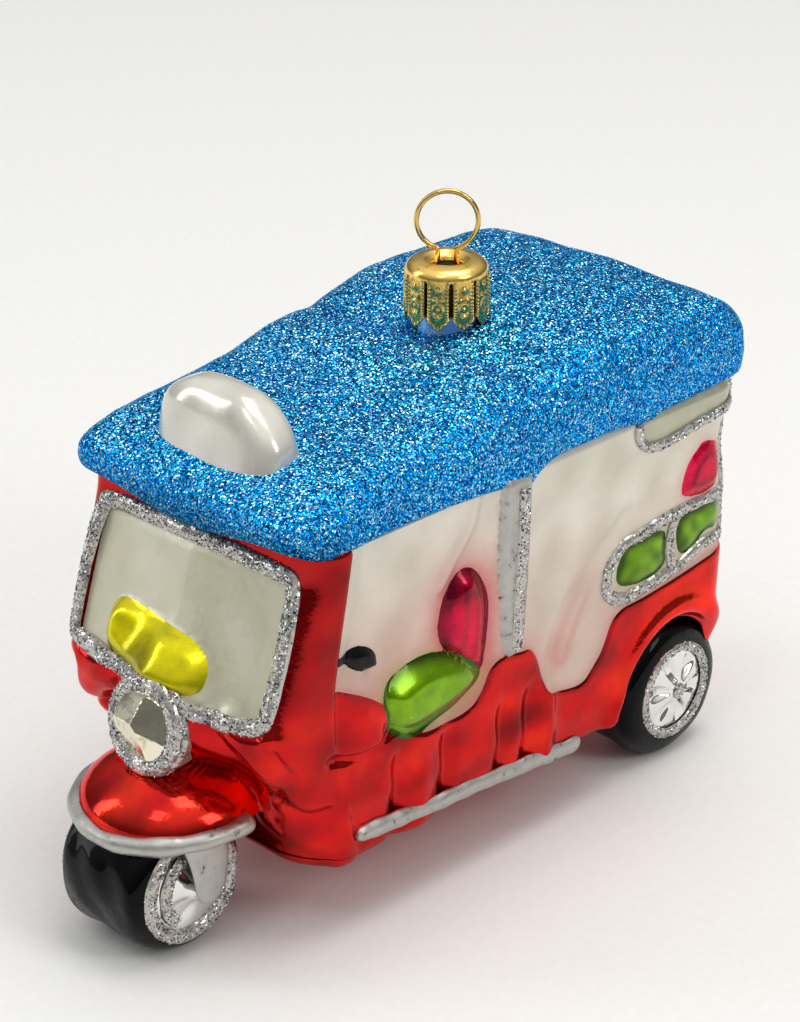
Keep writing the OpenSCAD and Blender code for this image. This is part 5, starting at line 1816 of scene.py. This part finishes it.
def petal_place(a):
    """Where an angle falls in its petal: 0 at the middle, -0.5 and 0.5 at the grooves."""
    return (((a - PETAL_TURN) / (2 * np.pi / PETALS)) % 1) - 0.5


def press(r, h, a):
    """The skirt's pattern, as a change of radius: a groove between two petals, a beaded rib
    on each side of it, dots and an oval on each petal, and beads along the foot."""
    along = petal_place(a) * 2 * np.pi * CAP_R / PETALS
    down = CAP_TOP - h
    skirt = smooth((down - 1.8) / 0.8)
    groove = CAP_R * np.pi / PETALS - np.abs(along)
    beads = 0.5 + 0.5 * np.cos(h * 2 * np.pi / BEAD_STEP)
    change = -0.7 * ridge(groove, 0.2) * skirt
    change = change + 0.3 * ridge(groove - 0.55, 0.2) * skirt * (0.3 + 0.7 * beads)
    for dot, shift, size in DOTS:
        change = change + 0.28 * ridge(np.hypot(along - shift, down - dot), size) * skirt
    oval = np.hypot(along / 0.75, (down - 6.6) / 1.25)
    change = change + 0.16 * ridge(oval - 1, 0.25) * skirt
    rim = (h - CAP_FOOT) / 0.35
    edge_beads = 0.5 + 0.5 * np.cos(along * 2 * np.pi / EDGE_STEP)
    return change + 0.2 * ridge(rim - 0.9, 0.9) * edge_beads


def petal_edge(r, h, a):
    """Raises the skirt's lower end towards the grooves, most at its very edge."""
    share = np.clip((CAP_TOP - 5 - h) / (CAP_TOP - 5 - CAP_FOOT), 0, 1)
    return 2.3 * (np.abs(petal_place(a)) * 2) ** 1.25 * share ** 1.6


p, t = turned_shape(profile, PETALS * 48, press, petal_edge)
radius = np.hypot(p[:, 0], p[:, 1])
shade = np.clip(0.72 + 1.5 * (radius - CAP_R), 0.12, 1.0)
shade = np.where(p[:, 2] > CAP_TOP - 1.9, 1.0, shade)
p = p + np.array([cap_mid[0], cap_mid[1], 0])
piece("crown_cap", p, t[:, ::-1], gold_cap, ["crown_cap"], body="cap",
      paint=shade[:, None])
print("crown cap:", len(t), "triangles")


# %% Wire loop
loop_low, loop_high = box_mm("wire_hanger")
WIRE_R, WIRE_CORNERS = 0.4, 16
LOOP_R = 4.65
LOOP_Z = loop_high[2] - LOOP_R - WIRE_R
LOOP_TURN = math.radians(43.6)
LEG_X = 1.3
start = math.asin(LEG_X / LOOP_R)
a = np.linspace(-np.pi / 2 + start, 1.5 * np.pi - start, 150)
arc_line = np.stack([LOOP_R * np.cos(a), LOOP_Z + LOOP_R * np.sin(a)], axis=1)
foot_z = loop_low[2]
leg = np.array([(3.0, foot_z), (2.2, foot_z + 8), (LEG_X, arc_line[0, 1])])
line = np.vstack([leg[:-1], arc_line, leg[:-1][::-1] * np.array([-1, 1])])
line = resample(round_off(line, 1, closed=False), 0.25)
print("wire loop:", len(line), "points along it")

# %% The wire's tube
across_dir = np.array([math.cos(LOOP_TURN), math.sin(LOOP_TURN), 0])
path = line[:, :1] * across_dir + line[:, 1:] * np.array([0, 0, 1.0])
path = path + np.array([cap_mid[0], cap_mid[1], 0])
flat_normal = np.cross(across_dir, (0, 0, 1.0))
_, side_way = frames_along(path, np.broadcast_to(flat_normal, path.shape), False)
turn = np.linspace(0, 2 * np.pi, WIRE_CORNERS, endpoint=False)
tube = path[:, None] + WIRE_R * (side_way[:, None] * np.cos(turn)[None, :, None]
                                 + flat_normal * np.sin(turn)[None, :, None])
p, t = capped_tube(tube, path[[0, -1]])
piece("wire_hanger", p, t, gold_wire, ["wire_hanger"], body="hanger")
print("wire:", len(t), "triangles")

# %% [markdown]
# The neck under the cap is bare silvered glass. The CAD node already has the right shape, so
# it is kept and only gets its material.

# %% The neck
neck_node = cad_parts["neck"]
neck_node.data.materials.clear()
neck_node.data.materials.append(clear_glass)
print("neck top at", round(float(box_mm("neck")[1][2]), 1))

# %% [markdown]
# ## The stage
# A pale floor and soft boxes of light. Silvered glass shows what stands around it, so the
# boxes are chosen as much for their reflections as for the light they give: a tall window at
# the left for the tyres, a broad one overhead for the roof, and a darker room in front.

# %% The floor
floor_mesh = bpy.data.meshes.new("floor")
REACH = 3.0
floor_mesh.from_pydata([(-REACH, -REACH, 0), (REACH, -REACH, 0), (REACH, REACH, 0),
                        (-REACH, REACH, 0)], [], [(0, 1, 2, 3)])
floor_object = bpy.data.objects.new("floor", floor_mesh)
scene.collection.objects.link(floor_object)
paper, paper_tree, paper_shader, paper_place, paper_add = new_material("paper")
paper_noise = paper_add("TexNoise", {"Vector": paper_place}, Scale=600.0, Detail=3.0)
paper_ramp = ramp_node(paper_add, paper_noise.outputs["Fac"],
                       [(0.3, (0.86, 0.855, 0.835)), (0.7, (0.89, 0.885, 0.87))])
link(paper_tree, paper_ramp.outputs["Color"], paper_shader, "Base Color")
set_all(paper_shader, Roughness=0.75)
floor_mesh.materials.append(paper)
print("floor:", 2 * REACH, "m wide")


# %% Soft boxes
def soft_box(name, azimuth, elevation, distance, width, height, power, colour=(1, 1, 1)):
    """An area light aimed at the ornament. Azimuth 0 is in front of its nose."""
    data = bpy.data.lights.new(name, "AREA")
    data.shape = "RECTANGLE"
    data.size, data.size_y = width, height
    data.energy = power
    data.color = colour
    lamp = bpy.data.objects.new(name, data)
    a, e = math.radians(azimuth), math.radians(elevation)
    way = Vector((math.sin(a) * math.cos(e), -math.cos(a) * math.cos(e), math.sin(e)))
    lamp.location = Vector((0, 0, 0.04)) + way * distance
    lamp.rotation_mode = "QUATERNION"
    lamp.rotation_quaternion = way.to_track_quat("Z", "Y")
    scene.collection.objects.link(lamp)
    return lamp


soft_box("overhead", 150, 76, 0.9, 0.5, 0.5, 2.6, (1.0, 0.99, 0.96))
soft_box("window_left", -52, 24, 1.0, 0.22, 0.8, 1.7, (0.97, 0.99, 1.0))
soft_box("window_right", 100, 34, 1.0, 0.3, 0.4, 1.9, (1.0, 0.98, 0.95))
soft_box("front_fill", 20, 60, 1.2, 0.25, 0.4, 0.9)
print("lights:", len(bpy.data.lights))

# %% [markdown]
# The room itself is a ramp from a dark wall at the horizon to white straight overhead. The
# ramp starts with two stops, at 0 and 1, so a third is added between them.

# %% The room
world = bpy.data.worlds.new("room")
scene.world = world
world.use_nodes = True
sky = world.node_tree
background = sky.nodes["Background"]
compass = sky.nodes.new("ShaderNodeTexCoord")
split = sky.nodes.new("ShaderNodeSeparateXYZ")
sky.links.new(compass.outputs["Generated"], split.inputs["Vector"])
room = sky.nodes.new("ShaderNodeValToRGB")
sky.links.new(split.outputs["Z"], room.inputs["Fac"])
stops = room.color_ramp.elements
stops.new(0.3)
for stop, grey in ((stops[0], 0.10), (stops[1], 0.24)):
    stop.color = (grey, grey * 0.99, grey * 0.965, 1)
sky.links.new(room.outputs["Color"], background.inputs["Color"])
background.inputs["Strength"].default_value = 1.0
print("pieces:", len(made), "triangles added:", sum(made.values()))
print("largest:", sorted(made.items(), key=lambda m: -m[1])[:9])
